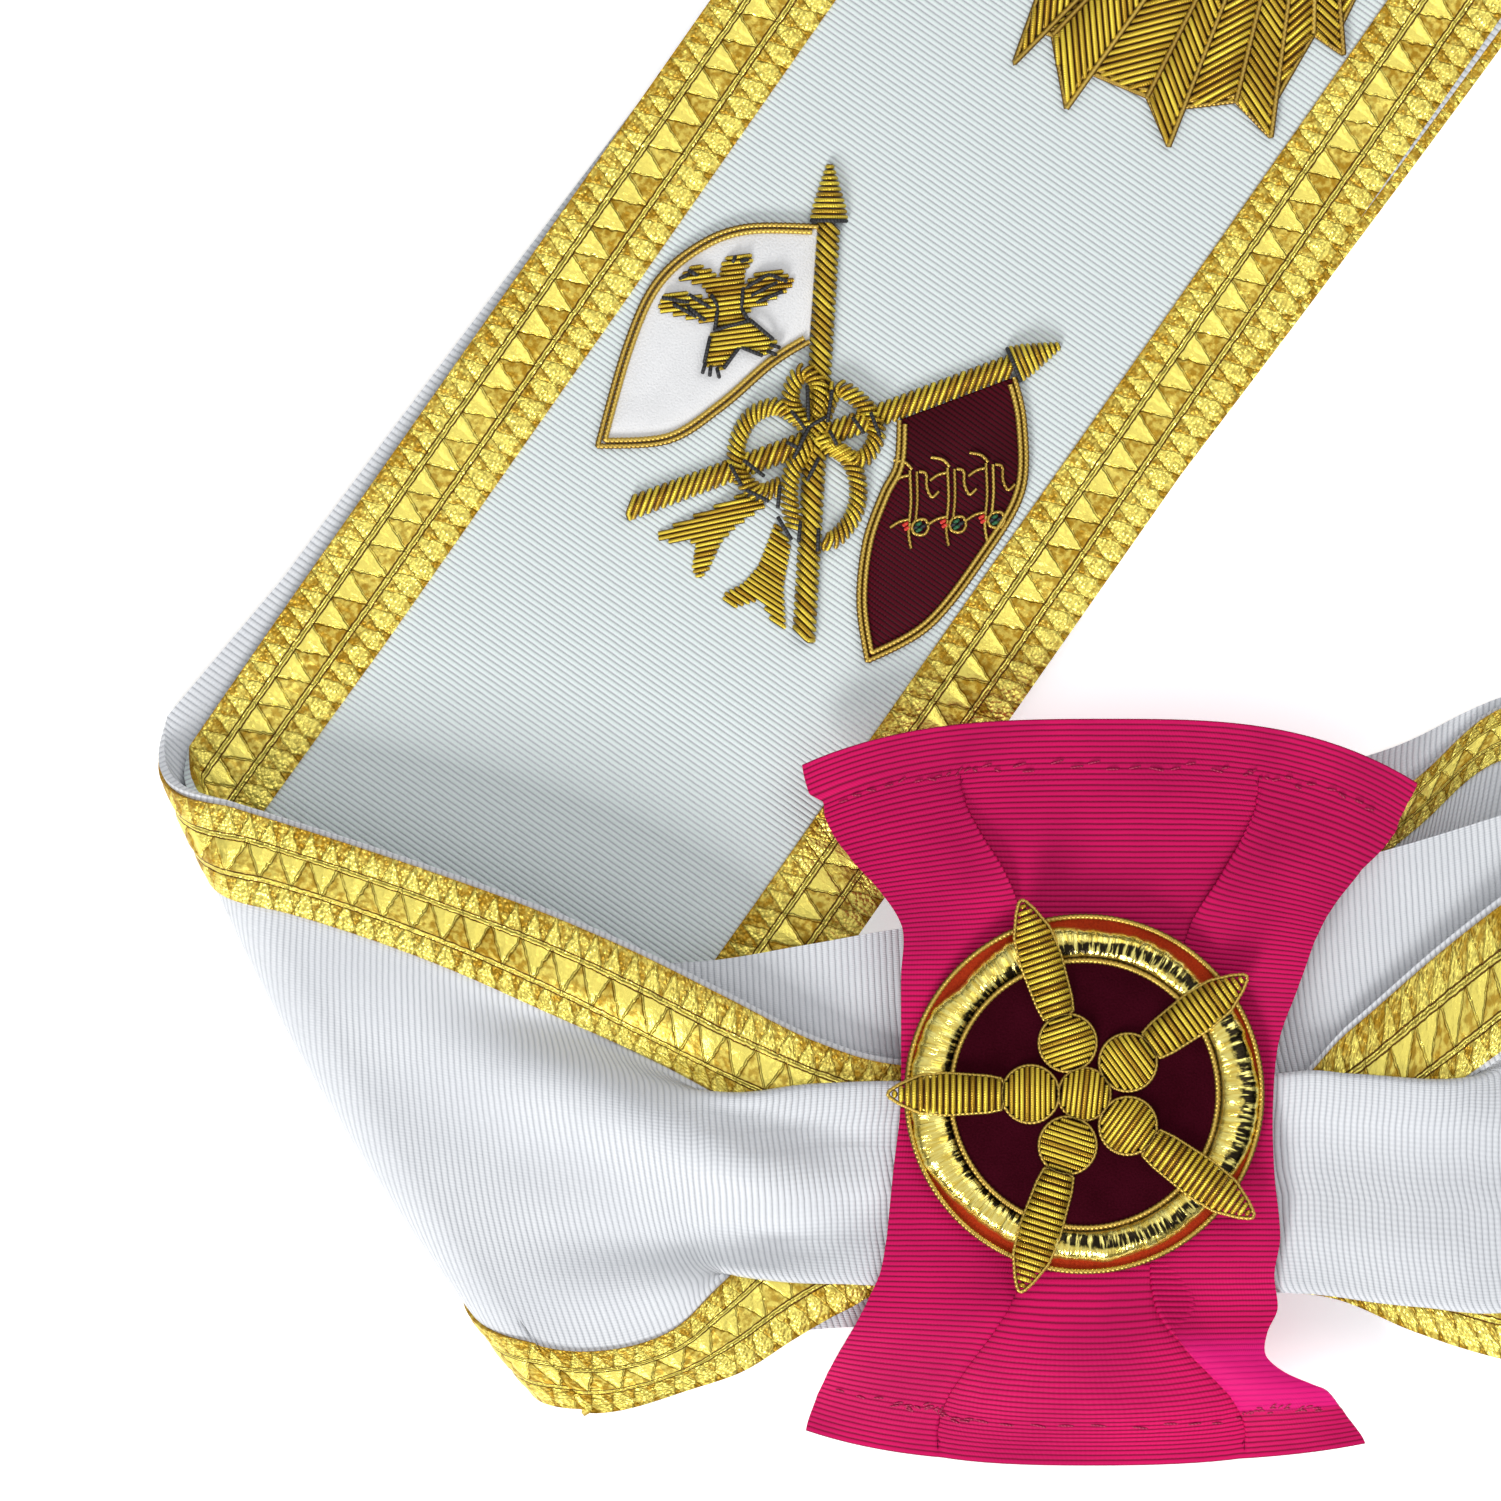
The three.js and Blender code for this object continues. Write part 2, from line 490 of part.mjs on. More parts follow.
// The five-armed wheel: a hub, a boss at the root of each arm, and the arms, which cross over the gold ring.
function addWheel(onBadge, bossFloor, armFloor) {
  const hubTop = bossFloor + wheel.bossRise;
  const bossPlace = wheel.hubRadius + clearance + wheel.bossRadius;
  const armStart = bossPlace + wheel.bossRadius + clearance;
  piece("badge_hub", turned(domeProfile(wheel.hubRadius, bossFloor, hubTop, 3), 14), colours.bullion, onBadge);
  const length = wheel.armTip - armStart;
  const armTable = [
    { share: 0, width: 0.74, height: 0.7 },
    { share: 0.12, width: 0.86, height: 0.9 },
    { share: 0.5, width: 1, height: 1 },
    { share: 0.72, width: 0.86, height: 0.95 },
    { share: 0.9, width: 0.42, height: 0.6 },
    { share: 1, width: 0.06, height: 0.2 },
  ];
  const sections = armTable.map(({ share, width, height }) => ({
    at: armStart + share * length,
    half: (width * wheel.armWidth) / 2,
    height: height * wheel.armHeight,
  }));
  for (let i = 0; i < wheel.arms; i++) {
    const spoke = new THREE.Group();
    spoke.rotation.z = Math.PI + (i * 2 * Math.PI) / wheel.arms;
    onBadge.add(spoke);
    const boss = turned(domeProfile(wheel.bossRadius, bossFloor, hubTop, 3), 14);
    piece(`badge_boss_${i + 1}`, boss, colours.bullion, spoke).position.x = bossPlace;
    piece(`badge_arm_${i + 1}`, bar(sections, armFloor), colours.bullion, spoke);
  }
}

// The white field between the laces, and the unit in which the devices on it are drawn.
const field = ribbon.width - 2 * (lace.margin + lace.width);
const unit = field / 99.7;
const knotPlace = { up: 0.871 * bow.reach, side: 0.01 * ribbon.width };
const burstPlace = { up: 1.782 * bow.reach, side: 0.03 * ribbon.width };

function onStrand({ up, side }) {
  const p = foldMiddle.clone().addScaledVector(upStrand, up).addScaledVector(acrossStrand, side);
  return new THREE.Vector3(p.x, p.y, fieldFloor);
}

// A flat plate of the given outline, with a hole if one is given.
function plate(outline, hole, height) {
  const shape = new THREE.Shape(outline);
  if (hole) shape.holes.push(new THREE.Path(hole));
  return new THREE.ExtrudeGeometry(shape, { depth: height, bevelEnabled: false });
}

// Points on smooth curves through the given points, [x, y] in device units. A point marked sharp begins a new curve.
function smoothOutline(points, perSpan) {
  const sharp = points.flatMap((p, i) => (p[2] ? [i] : []));
  const outline = [];
  sharp.forEach((start, n) => {
    const end = n + 1 < sharp.length ? sharp[n + 1] : sharp[0] + points.length;
    const run = [];
    for (let i = start; i <= end; i++) {
      const [x, y] = points[i % points.length];
      run.push(new THREE.Vector2(x * unit, y * unit));
    }
    const curve = new THREE.SplineCurve(run);
    const count = run.length === 2 ? 1 : (run.length - 1) * perSpan;
    outline.push(...curve.getPoints(count).slice(0, -1));
  });
  return outline;
}

// How far a point lies from the nearest side of an outline.
function gapTo(p, outline) {
  const nearest = new THREE.Vector3();
  const point = new THREE.Vector3(p.x, p.y, 0);
  const gaps = outline.map((a, i) => {
    const b = outline[(i + 1) % outline.length];
    const side = new THREE.Line3(new THREE.Vector3(a.x, a.y, 0), new THREE.Vector3(b.x, b.y, 0));
    return side.closestPointToPoint(point, true, nearest).distanceTo(point);
  });
  return Math.min(...gaps);
}

// The outline moved inwards by a distance, without the points that crowd together in its corners.
function inset(outline, distance) {
  const turnSign = Math.sign(THREE.ShapeUtils.area(outline));
  const moved = outline.map((p, i) => {
    const before = outline[(i + outline.length - 1) % outline.length];
    const after = outline[(i + 1) % outline.length];
    const a = p.clone().sub(before).normalize();
    const b = after.clone().sub(p).normalize();
    const square = new THREE.Vector2(-a.y, a.x).multiplyScalar(turnSign);
    const normal = new THREE.Vector2(-a.y - b.y, a.x + b.x).normalize().multiplyScalar(turnSign);
    return p.clone().addScaledVector(normal, distance / normal.dot(square));
  });
  const kept = moved.filter((p) => gapTo(p, outline) > distance * 0.97);
  return kept.filter((p, i) => p.distanceTo(kept[(i + 1) % kept.length]) > clearance);
}

const sharpPoint = true;
const whiteFlag = [
  [0.3, 45.7, sharpPoint], [-15.2, 45.7], [-26.5, 41.3], [-36, 32.5], [-42.4, 18.1],
  [-48.6, -4, sharpPoint], [-32, -2.9], [-20.1, 4.4], [-8.8, 14.1], [-1.5, 19.4, sharpPoint],
];
const maroonFlag = [
  [45, 11.3, sharpPoint], [20, 2, sharpPoint], [18.6, -6], [15.2, -13.2], [10.6, -24.5], [9.3, -38.2],
  [11.3, -51.7, sharpPoint], [25.8, -43.7], [38.3, -28], [46.6, -13.5], [47, 2],
];
const uprightStaff = { top: [3.3, 46.6], foot: [-2.3, -46.1], tip: [3.5, 58.9] };
const slantStaff = { top: [44.3, 14.7], foot: [-41.3, -17.3], tip: [54.3, 18.9] };
const eagleOutline = [
  [-30.4, 32.5], [-28.8, 34.7], [-26.3, 36.8], [-23.2, 35.9], [-20.9, 33.7], [-20.2, 37.2], [-18, 39.3],
  [-13.9, 38.8], [-13.5, 37], [-15.2, 35.9], [-15.5, 32.3], [-12.8, 34.7], [-7.6, 35.7], [-4.2, 33], [-5.6, 31.2],
  [-10.3, 28.2], [-15.5, 26], [-13.5, 24.1], [-8.1, 19.6], [-10.8, 16.5], [-16.4, 18.5], [-18, 16.7], [-20.2, 13.3],
  [-24.3, 14.7], [-23, 21], [-21.4, 22.8], [-21.8, 23.7], [-25.2, 24.1], [-30.6, 25.5], [-34.7, 26.6], [-33.3, 29.7],
  [-29.7, 30.8], [-23, 29.3], [-24.3, 31.8], [-27.5, 32.9],
];
const tailLeft = [
  [-15.6, -13.8], [-34.2, -22.3], [-34.6, -23.6], [-32.9, -24.4], [-25.9, -24.5], [-26.8, -30.4], [-25.7, -32.5],
  [-23.6, -31.2], [-20.6, -24.5], [-17.3, -21.1], [-10.1, -16],
];
const tailRight = [
  [-8.4, -19.8], [-10.1, -24.5], [-12.2, -29.9], [-15.6, -33.7], [-19.8, -35.9], [-20, -37.4], [-17.3, -38.8],
  [-11.8, -37.1], [-9.3, -41.8], [-6.4, -43.4], [-6.9, -34.6], [-6.2, -30.4], [-5.2, -24.9],
];

// A bar between two points of the devices' plane.
function barBetween(from, to, sections, floor) {
  const start = new THREE.Vector2(...from).multiplyScalar(unit);
  const end = new THREE.Vector2(...to).multiplyScalar(unit);
  const length = start.distanceTo(end);
  const scaled = sections.map((s) => ({ ...s, at: s.share * length }));
  const direction = end.sub(start);
  return bar(scaled, floor).rotateZ(Math.atan2(direction.y, direction.x)).translate(start.x, start.y, 0);
}

function addFlags() {
  const flags = new THREE.Group();
  flags.position.copy(onStrand(knotPlace));
  sash.add(flags);
  const wireGap = panel.wire + clearance;
  for (const [name, points, material] of [["white", whiteFlag, colours.white], ["maroon", maroonFlag, colours.maroon]]) {
    const outline = smoothOutline(points, 3);
    piece(`flag_${name}`, plate(inset(outline, wireGap), null, panel.felt), material, flags);
    piece(`flag_${name}_wire`, plate(outline, inset(outline, panel.wire), panel.wireHeight), colours.bullion, flags);
  }
  const devices = eagleOutline.map(([x, y]) => new THREE.Vector2(x * unit, y * unit));
  const eaglePlate = piece("eagle", plate(devices, null, eagle.height), colours.bullion, flags);
  eaglePlate.position.z = panel.felt + clearance;
  addStaffs(flags);
  for (const [name, points] of [["left", tailLeft], ["right", tailRight]]) {
    const outline = points.map(([x, y]) => new THREE.Vector2(x * unit, y * unit));
    piece(`knot_tail_${name}`, plate(outline, null, tail.height), colours.bullion, flags);
  }
}

// The two crossed staffs with their finials. The slanting one is laid in two lengths that meet the upright one.
function addStaffs(flags) {
  const half = staff.width / 2;
  const shaft = [{ share: 0, half, height: staff.height }, { share: 1, half, height: staff.height }];
  const finial = [
    { share: 0, half: staff.finialWidth / 2, height: staff.finialHeight * 0.8 },
    { share: 0.3, half: staff.finialWidth / 2.2, height: staff.finialHeight },
    { share: 0.75, half: staff.finialWidth / 4, height: staff.finialHeight * 0.7 },
    { share: 1, half: staff.finialWidth / 14, height: staff.finialHeight * 0.3 },
  ];
  const [top, foot] = [new THREE.Vector2(...slantStaff.top), new THREE.Vector2(...slantStaff.foot)];
  const middle = -1;
  const breakAt = (side) => {
    const along = top.clone().sub(foot).normalize();
    const crossing = new THREE.Vector2(0, middle);
    return crossing.addScaledVector(along, (side * (half * 1.6 + clearance)) / unit).toArray();
  };
  const shortOf = (from, to, gap) => {
    const away = new THREE.Vector2(...from).sub(new THREE.Vector2(...to)).normalize();
    return new THREE.Vector2(...to).addScaledVector(away, gap / unit).toArray();
  };
  piece("staff_upright", barBetween(uprightStaff.foot, uprightStaff.top, shaft, 0), colours.bullion, flags);
  piece("staff_slant_upper", barBetween(breakAt(1), slantStaff.top, shaft, 0), colours.bullion, flags);
  piece("staff_slant_lower", barBetween(slantStaff.foot, breakAt(-1), shaft, 0), colours.bullion, flags);
  for (const [name, ends] of [["upright", uprightStaff], ["slant", slantStaff]]) {
    const start = shortOf(ends.tip, ends.top, clearance);
    piece(`finial_${name}`, barBetween(start, ends.tip, finial, 0), colours.bullion, flags);
  }
}

// The four loops of the cord bow that ties the staffs, each an oval that leaves the knot at an angle.
const knotLoops = [
  { angle: 200, length: 18, width: 17 },
  { angle: 112, length: 13, width: 7 },
  { angle: 6, length: 16, width: 15 },
  { angle: 277, length: 23, width: 16 },
];

function addKnot() {
  const floor = fieldFloor + staff.height + clearance;
  const loops = knotLoops.map(({ angle, length, width }) => {
    const outline = (grow) => {
      const points = [];
      const count = 14;
      for (let i = 0; i < count; i++) {
        const a = (i / count) * 2 * Math.PI;
        const along = (length * unit) / 2 + ((length * unit) / 2 + grow) * Math.cos(a);
        points.push(new THREE.Vector2(along, ((width * unit) / 2 + grow) * Math.sin(a)));
      }
      return points;
    };
    const half = knotCord.width / 2;
    return solid(plate(outline(half), outline(-half), knotCord.height).rotateZ(THREE.MathUtils.degToRad(angle)));
  });
  const centre = new THREE.CylinderGeometry(knotCord.width * 0.95, knotCord.width * 0.95, knotCord.height, 12);
  loops.push(solid(centre.rotateX(Math.PI / 2).translate(0, 0, knotCord.height / 2)));
  const joined = loops.reduce((a, b) => a.add(b));
  const place = onStrand(knotPlace);
  const mesh = piece("knot", geometryOf(joined), colours.bullion);
  mesh.position.set(place.x, place.y, floor);
}

// A closed three.js geometry as a manifold solid, and back again.
function solid(geometry) {
  const bare = new THREE.BufferGeometry();
  const source = geometry.index ? geometry.toNonIndexed() : geometry;
  bare.setAttribute("position", source.getAttribute("position").clone());
  const merged = mergeVertices(bare, 1e-4);
  return new wasm.Manifold(
    new wasm.Mesh({
      numProp: 3,
      vertProperties: new Float32Array(merged.attributes.position.array),
      triVerts: new Uint32Array(merged.index.array),
    }),
  );
}

function geometryOf(manifold) {
  const mesh = manifold.getMesh();
  const geometry = new THREE.BufferGeometry();
  geometry.setAttribute("position", new THREE.BufferAttribute(new Float32Array(mesh.vertProperties), 3));
  geometry.setIndex(new THREE.BufferAttribute(new Uint32Array(mesh.triVerts), 1));
  geometry.computeVertexNormals();
  return geometry;
}

// The sunburst: a ring of ridged rays whose tips lie on an oval, with a plain padded boss in the middle.
function addBurst() {
  const place = onStrand(burstPlace);
  const group = new THREE.Group();
  group.position.copy(place);
  group.rotation.z = strandAngle;
  sash.add(group);
  const positions = [0, 0, 0, 0, 0, burst.ridge];
  const index = [];
  const spokes = burst.rays * 2;
  for (let i = 0; i < spokes; i++) {
    const isTip = i % 2 === 0;
    const a = Math.PI + THREE.MathUtils.degToRad(burst.phase) + (i / spokes) * 2 * Math.PI;
    const reach = isTip ? 1 : burst.notch;
    const x = (burst.length / 2) * Math.cos(a) * reach;
    const y = (burst.width / 2) * Math.sin(a) * reach;
    positions.push(x, y, 0, x, y, isTip ? burst.ridge * 0.6 : burst.valley);
  }
  for (let i = 0; i < spokes; i++) {
    const [low, high] = [2 + 2 * i, 3 + 2 * i];
    const next = (i + 1) % spokes;
    const [nextLow, nextHigh] = [2 + 2 * next, 3 + 2 * next];
    index.push(0, nextLow, low, 1, high, nextHigh, low, nextLow, nextHigh, low, nextHigh, high);
  }
  const rays = new THREE.BufferGeometry();
  rays.setAttribute("position", new THREE.Float32BufferAttribute(positions, 3));
  rays.setIndex(index);
  rays.computeVertexNormals();
  piece("sunburst", rays, colours.bullion, group);
  const bossFloor = burst.ridge + clearance;
  const profile = domeProfile(burst.boss / 2, bossFloor, bossFloor + burst.bossHeight, 3);
  piece("sunburst_boss", turned(profile, 20), colours.bullion, group);
}


addRibbons();
addCockade();
addBadge();
addFlags();
addKnot();
addBurst();

// The whole is moved so that it stands on the origin.
const outline = new THREE.Box3().setFromObject(sash, true);
const middle = outline.getCenter(new THREE.Vector3());
sash.position.set(-middle.x, -middle.y, -outline.min.z);

export default sash;
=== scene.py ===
"""The looks of an order's sash laid flat: ribbed ribbon, gold lace, a bow, a badge and embroidery."""
import logging
import math
from dataclasses import dataclass, replace
from enum import Enum
from typing import Callable, Sequence

import bpy
import numpy as np
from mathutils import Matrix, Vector


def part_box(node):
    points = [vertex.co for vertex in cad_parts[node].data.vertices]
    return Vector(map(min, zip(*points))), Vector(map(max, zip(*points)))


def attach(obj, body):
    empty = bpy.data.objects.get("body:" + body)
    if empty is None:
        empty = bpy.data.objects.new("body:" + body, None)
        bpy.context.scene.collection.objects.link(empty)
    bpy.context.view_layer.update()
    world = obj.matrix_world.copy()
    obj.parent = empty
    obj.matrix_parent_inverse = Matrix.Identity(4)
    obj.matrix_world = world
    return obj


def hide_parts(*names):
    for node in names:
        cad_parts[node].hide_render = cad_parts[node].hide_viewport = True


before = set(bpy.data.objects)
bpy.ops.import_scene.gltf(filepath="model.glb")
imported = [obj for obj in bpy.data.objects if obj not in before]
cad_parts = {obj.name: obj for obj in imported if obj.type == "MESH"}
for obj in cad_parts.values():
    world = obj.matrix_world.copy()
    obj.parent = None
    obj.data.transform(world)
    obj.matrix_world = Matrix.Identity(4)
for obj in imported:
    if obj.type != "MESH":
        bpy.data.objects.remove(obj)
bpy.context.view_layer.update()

LOG = logging.getLogger("sash")
MM = 0.001
UP = np.array([0.0, 0.0, 1.0])
Array = np.ndarray


# Sizes, in millimetres, with the badge's middle at zero on the table


@dataclass(frozen=True)
class RibbonSize:
    """The white ribbon and the lace along both its edges."""

    width: float = 101.6
    thickness: float = 1.2
    lace_width: float = 15.0
    lace_thickness: float = 0.9
    lace_margin: float = 0.9
    clearance: float = 0.3


@dataclass(frozen=True)
class StrandSize:
    """The straight strand from the bow up to the shoulder."""

    angle: float = 55.0
    length: float = 840.0
    seam_setback: float = 42.0
    shoulder_radius: float = 2.4
    drift: float = 3.2
    straightens: float = 58.0


@dataclass(frozen=True)
class BowSize:
    """The bow's reach, its left fold and how high its layers stand."""

    reach: float = 142.0
    fold_tilt: float = -59.0
    fold_x: float = -0.794
    fold_y: float = 1.5
    layer_rise: float = 4.2
    top_rise: float = 3.0
    puff: float = 4.6
    inner_puff: float = 2.2
    fold_bulge: float = 4.2
    inner_gap: float = 2.1
    pleat_low: float = 0.9
    pleat_high: float = 1.7


RIBBON = RibbonSize()
STRAND = StrandSize()
BOW = BowSize()
OUTER_LOW = RIBBON.lace_thickness + RIBBON.clearance + RIBBON.thickness / 2
INNER_LOW = OUTER_LOW + RIBBON.thickness + RIBBON.clearance
INNER_HIGH = INNER_LOW + RIBBON.lace_thickness + 2 * RIBBON.clearance + BOW.layer_rise
OUTER_HIGH = INNER_HIGH + RIBBON.clearance + BOW.top_rise
LACE_TOP = RIBBON.thickness / 2 + RIBBON.clearance + RIBBON.lace_thickness
COCKADE_LEVEL = OUTER_HIGH + LACE_TOP + 3 * RIBBON.clearance + RIBBON.thickness / 2
BADGE_FLOOR = COCKADE_LEVEL + RIBBON.thickness / 2 + RIBBON.clearance
FIELD_FLOOR = INNER_LOW + RIBBON.thickness / 2
LACE_START = RIBBON.lace_margin / RIBBON.width
LACE_END = (RIBBON.lace_margin + RIBBON.lace_width) / RIBBON.width
TUCK = LACE_END + 0.02
CREST = 0.35
KNOTS = np.array([0.0, LACE_END, TUCK, CREST, 1 - CREST, 1 - TUCK, 1 - LACE_END, 1.0])

# The lace's pattern: its two seams and its outer triangles, as shares of its width, and their length
SEAM_LOW = 0.31
SEAM_HIGH = 0.7
OUTER_ROWS = 3.2
TRIANGLE = 5.2
THREAD_PITCH = 0.5

# How much of the strand is modelled finely, and the lengths of the laces' steps in and out of view
IN_VIEW = 230.0
FINE_STEP = 0.6
COARSE_STEP = 1.25

# How many steps each stretch of a ribbon has
SWING_STEPS = 20
STRAND_STEPS = 80
SEAM_STEPS = 5
SHOULDER_STEPS = 10
LOOP_STEPS = 51

# The places round a thread at which its points lie
FULL_TURN = np.linspace(0, 2 * math.pi, 7)
OVER_TOP = np.radians([-25.0, 15.0, 52.0, 90.0, 128.0, 165.0, 205.0])
FLAT_STRIP = np.radians([0.0, 180.0])


class Side(Enum):
    """Which edge of a ribbon, seen with its laced face up and its run going away."""

    LEFT = 0
    RIGHT = 1


class LacedFace(Enum):
    """Which face of a ribbon's run carries its lace."""

    UPPER = 1
    LOWER = -1


@dataclass(frozen=True)
class Section:
    """One section of a bow layer: its ends, as shares of the reach and the width, and how it draws together.

    The last four say how far down the section the lace ends, the upper pleat's crest and the lower one's lie,
    and the lower lace begins. A lace that ends below its crest is overlapped by the pleat.
    """

    top_x: float
    top_y: float
    foot_x: float
    foot_y: float
    lace: float = LACE_END
    crest: float = CREST
    hem_crest: float = 1 - CREST
    hem: float = 1 - LACE_END

    def row(self) -> list[float]:
        """Return the section's values in a fixed order."""
        ends = [self.top_x, self.top_y, self.foot_x, self.foot_y]
        return [*ends, self.lace, self.crest, self.hem_crest, self.hem]


@dataclass(frozen=True)
class Crease:
    """A soft ridge or furrow across the bow's front, from one place to another, in millimetres."""

    x0: float
    y0: float
    x1: float
    y1: float
    height: float
    spread: float


def rows_of(kind: type, table: Sequence[Sequence[float]]) -> list:
    """Return a table's rows as things of one kind."""
    return [kind(*row) for row in table]


UPPER_OUTER = rows_of(Section, (
    (-0.862, 0.415, -0.565, -0.502, 0.17, 0.35, 0.68, 0.88),
    (-0.74, 0.362, -0.49, -0.482, 0.195, 0.36, 0.7, 0.9),
    (-0.62, 0.302, -0.425, -0.448, 0.238, 0.36, 0.72, 0.885),
    (-0.5, 0.232, -0.37, -0.42, 0.288, 0.345, 0.76, 0.8),
    (-0.39, 0.156, -0.315, -0.372, 0.345, 0.3, 0.827, 0.721),
    (-0.29, 0.086, -0.26, -0.329, 0.36, 0.178, 0.895, 0.644),
    (-0.19, 0.05, -0.19, -0.292, 0.42, 0.1, 0.985, 0.57),
    (0.0, 0.045, 0.0, -0.285, 0.42, 0.1, 0.98, 0.57),
    (0.19, -0.005, 0.19, -0.3, 0.5, -0.1, 0.99, 0.57),
    (0.29, 0.108, 0.275, -0.312, 0.5, 0.19, 0.985, 0.637),
    (0.39, 0.23, 0.36, -0.361, 0.41, 0.36, 0.931, 0.741),
    (0.5, 0.345, 0.455, -0.402, 0.325, 0.41, 0.9, 0.794),
    (0.63, 0.445, 0.6, -0.44, 0.23, 0.39, 0.8, 0.84),
    (0.78, 0.5, 0.77, -0.45, 0.17, 0.36, 0.68, 0.85),
    (0.92, 0.54, 0.92, -0.44),
))
UPPER_INNER = rows_of(Section, (
    (-0.8, 0.34, -0.56, -0.43),
    (-0.66, 0.25, -0.47, -0.42),
    (-0.54, 0.205, -0.4, -0.39),
    (-0.42, 0.2, -0.33, -0.365),
    (-0.3, 0.226, -0.26, -0.355),
    (-0.19, 0.252, -0.19, -0.355),
    (0.0, 0.28, 0.0, -0.33),
    (0.19, 0.325, 0.18, -0.29),
    (0.32, 0.366, 0.3, -0.3),
    (0.455, 0.423, 0.43, -0.36),
    (0.6, 0.49, 0.58, -0.4),
    (0.75, 0.525, 0.74, -0.425),
    (0.88, 0.53, 0.88, -0.43),
))
LOWER_INNER = rows_of(Section, (
    (0.88, 0.53, 0.88, -0.43),
    (0.75, 0.6, 0.72, -0.43, 0.13),
    (0.6, 0.63, 0.56, -0.41, 0.1),
    (0.455, 0.59, 0.42, -0.36, 0.09),
    (0.36, 0.48, 0.32, -0.3, 0.11),
    (0.24, 0.36, 0.22, -0.265, 0.14),
    (0.08, 0.27, 0.08, -0.25),
    (-0.13, 0.24, -0.13, -0.24),
))
LOWER_OUTER = rows_of(Section, (
    (0.92, 0.54, 0.92, -0.44),
    (0.77, 0.63, 0.74, -0.435),
    (0.61, 0.655, 0.58, -0.42),
    (0.455, 0.602, 0.43, -0.365),
    (0.345, 0.53, 0.32, -0.305),
    (0.22, 0.47, 0.21, -0.275),
    (0.06, 0.35, 0.06, -0.26),
    (-0.155, 0.265, -0.155, -0.25),
))
CREASES = rows_of(Crease, (
    (-134.0, 29.0, -90.0, 6.0, 3.2, 7.0),
    (-96.0, 6.0, -40.0, -16.0, 3.4, 6.0),
    (-92.0, 13.5, -52.0, 2.5, -2.8, 4.2),
    (-122.0, 8.0, -74.0, -15.0, -2.2, 6.5),
    (-88.0, -25.0, -40.0, -20.0, -2.8, 5.0),
    (-104.0, -36.0, -50.0, -28.0, 1.8, 4.5),
    (-62.0, -3.0, -28.0, -8.0, -1.5, 2.6),
    (-54.0, -25.0, -28.0, -18.0, -1.5, 2.4),
    (-58.0, -13.0, -28.0, -12.0, 1.3, 2.6),
    (28.0, -6.0, 76.0, -12.0, -1.4, 3.4),
    (28.0, -20.0, 62.0, -25.0, 1.2, 2.8),
    (56.0, 2.0, 100.0, 12.0, -2.2, 5.0),
))


def smooth(x: Array, low: float, high: float) -> Array:
    """Rise smoothly from 0 at low to 1 at high."""
    t = np.clip((x - low) / (high - low), 0.0, 1.0)
    return t * t * (3 - 2 * t)


def follow(values: Array, t: Array) -> Array:
    """Follow a table's rows smoothly.

    Args:
        values: the table, one row a section.
        t: places from 0 at the first row to 1 at the last.

    Returns:
        One row of values for each place.
    """
    last = len(values) - 1
    place = np.clip(t, 0, 1) * last
    first = np.minimum(np.floor(place).astype(int), last - 1)
    f = (place - first)[:, None]
    a, b, c, d = (values[np.clip(first + k, 0, last)] for k in (-1, 0, 1, 2))
    return b + f * (c - a) / 2 + f**2 * (a - 2.5 * b + 2 * c - d / 2) + f**3 * (-a + 3 * b - 3 * c + d) / 2


def soft_line(at: Array, knots: Array, values: Array) -> Array:
    """Join values between knots smoothly and without overshoot.

    Args:
        at: the places wanted.
        knots: where the values are given.
        values: rows of values, one for each knot.

    Returns:
        For each row, its value at each place.
    """
    step = np.diff(knots)
    rise = np.diff(values, axis=1) / step
    before, after = rise[:, :-1], rise[:, 1:]
    turning = before * after <= 0
    inner = np.where(turning, 0.0, 2 * before * after / np.where(turning, 1.0, before + after))
    slope = np.concatenate([rise[:, :1], inner, rise[:, -1:]], axis=1)
    k = np.clip(np.searchsorted(knots, at, side="right") - 1, 0, len(knots) - 2)
    f = (at - knots[k]) / step[k]
    start = values[:, k] * (1 + 2 * f) * (1 - f) ** 2 + slope[:, k] * step[k] * f * (1 - f) ** 2
    return start + values[:, k + 1] * f**2 * (3 - 2 * f) - slope[:, k + 1] * step[k] * f**2 * (1 - f)


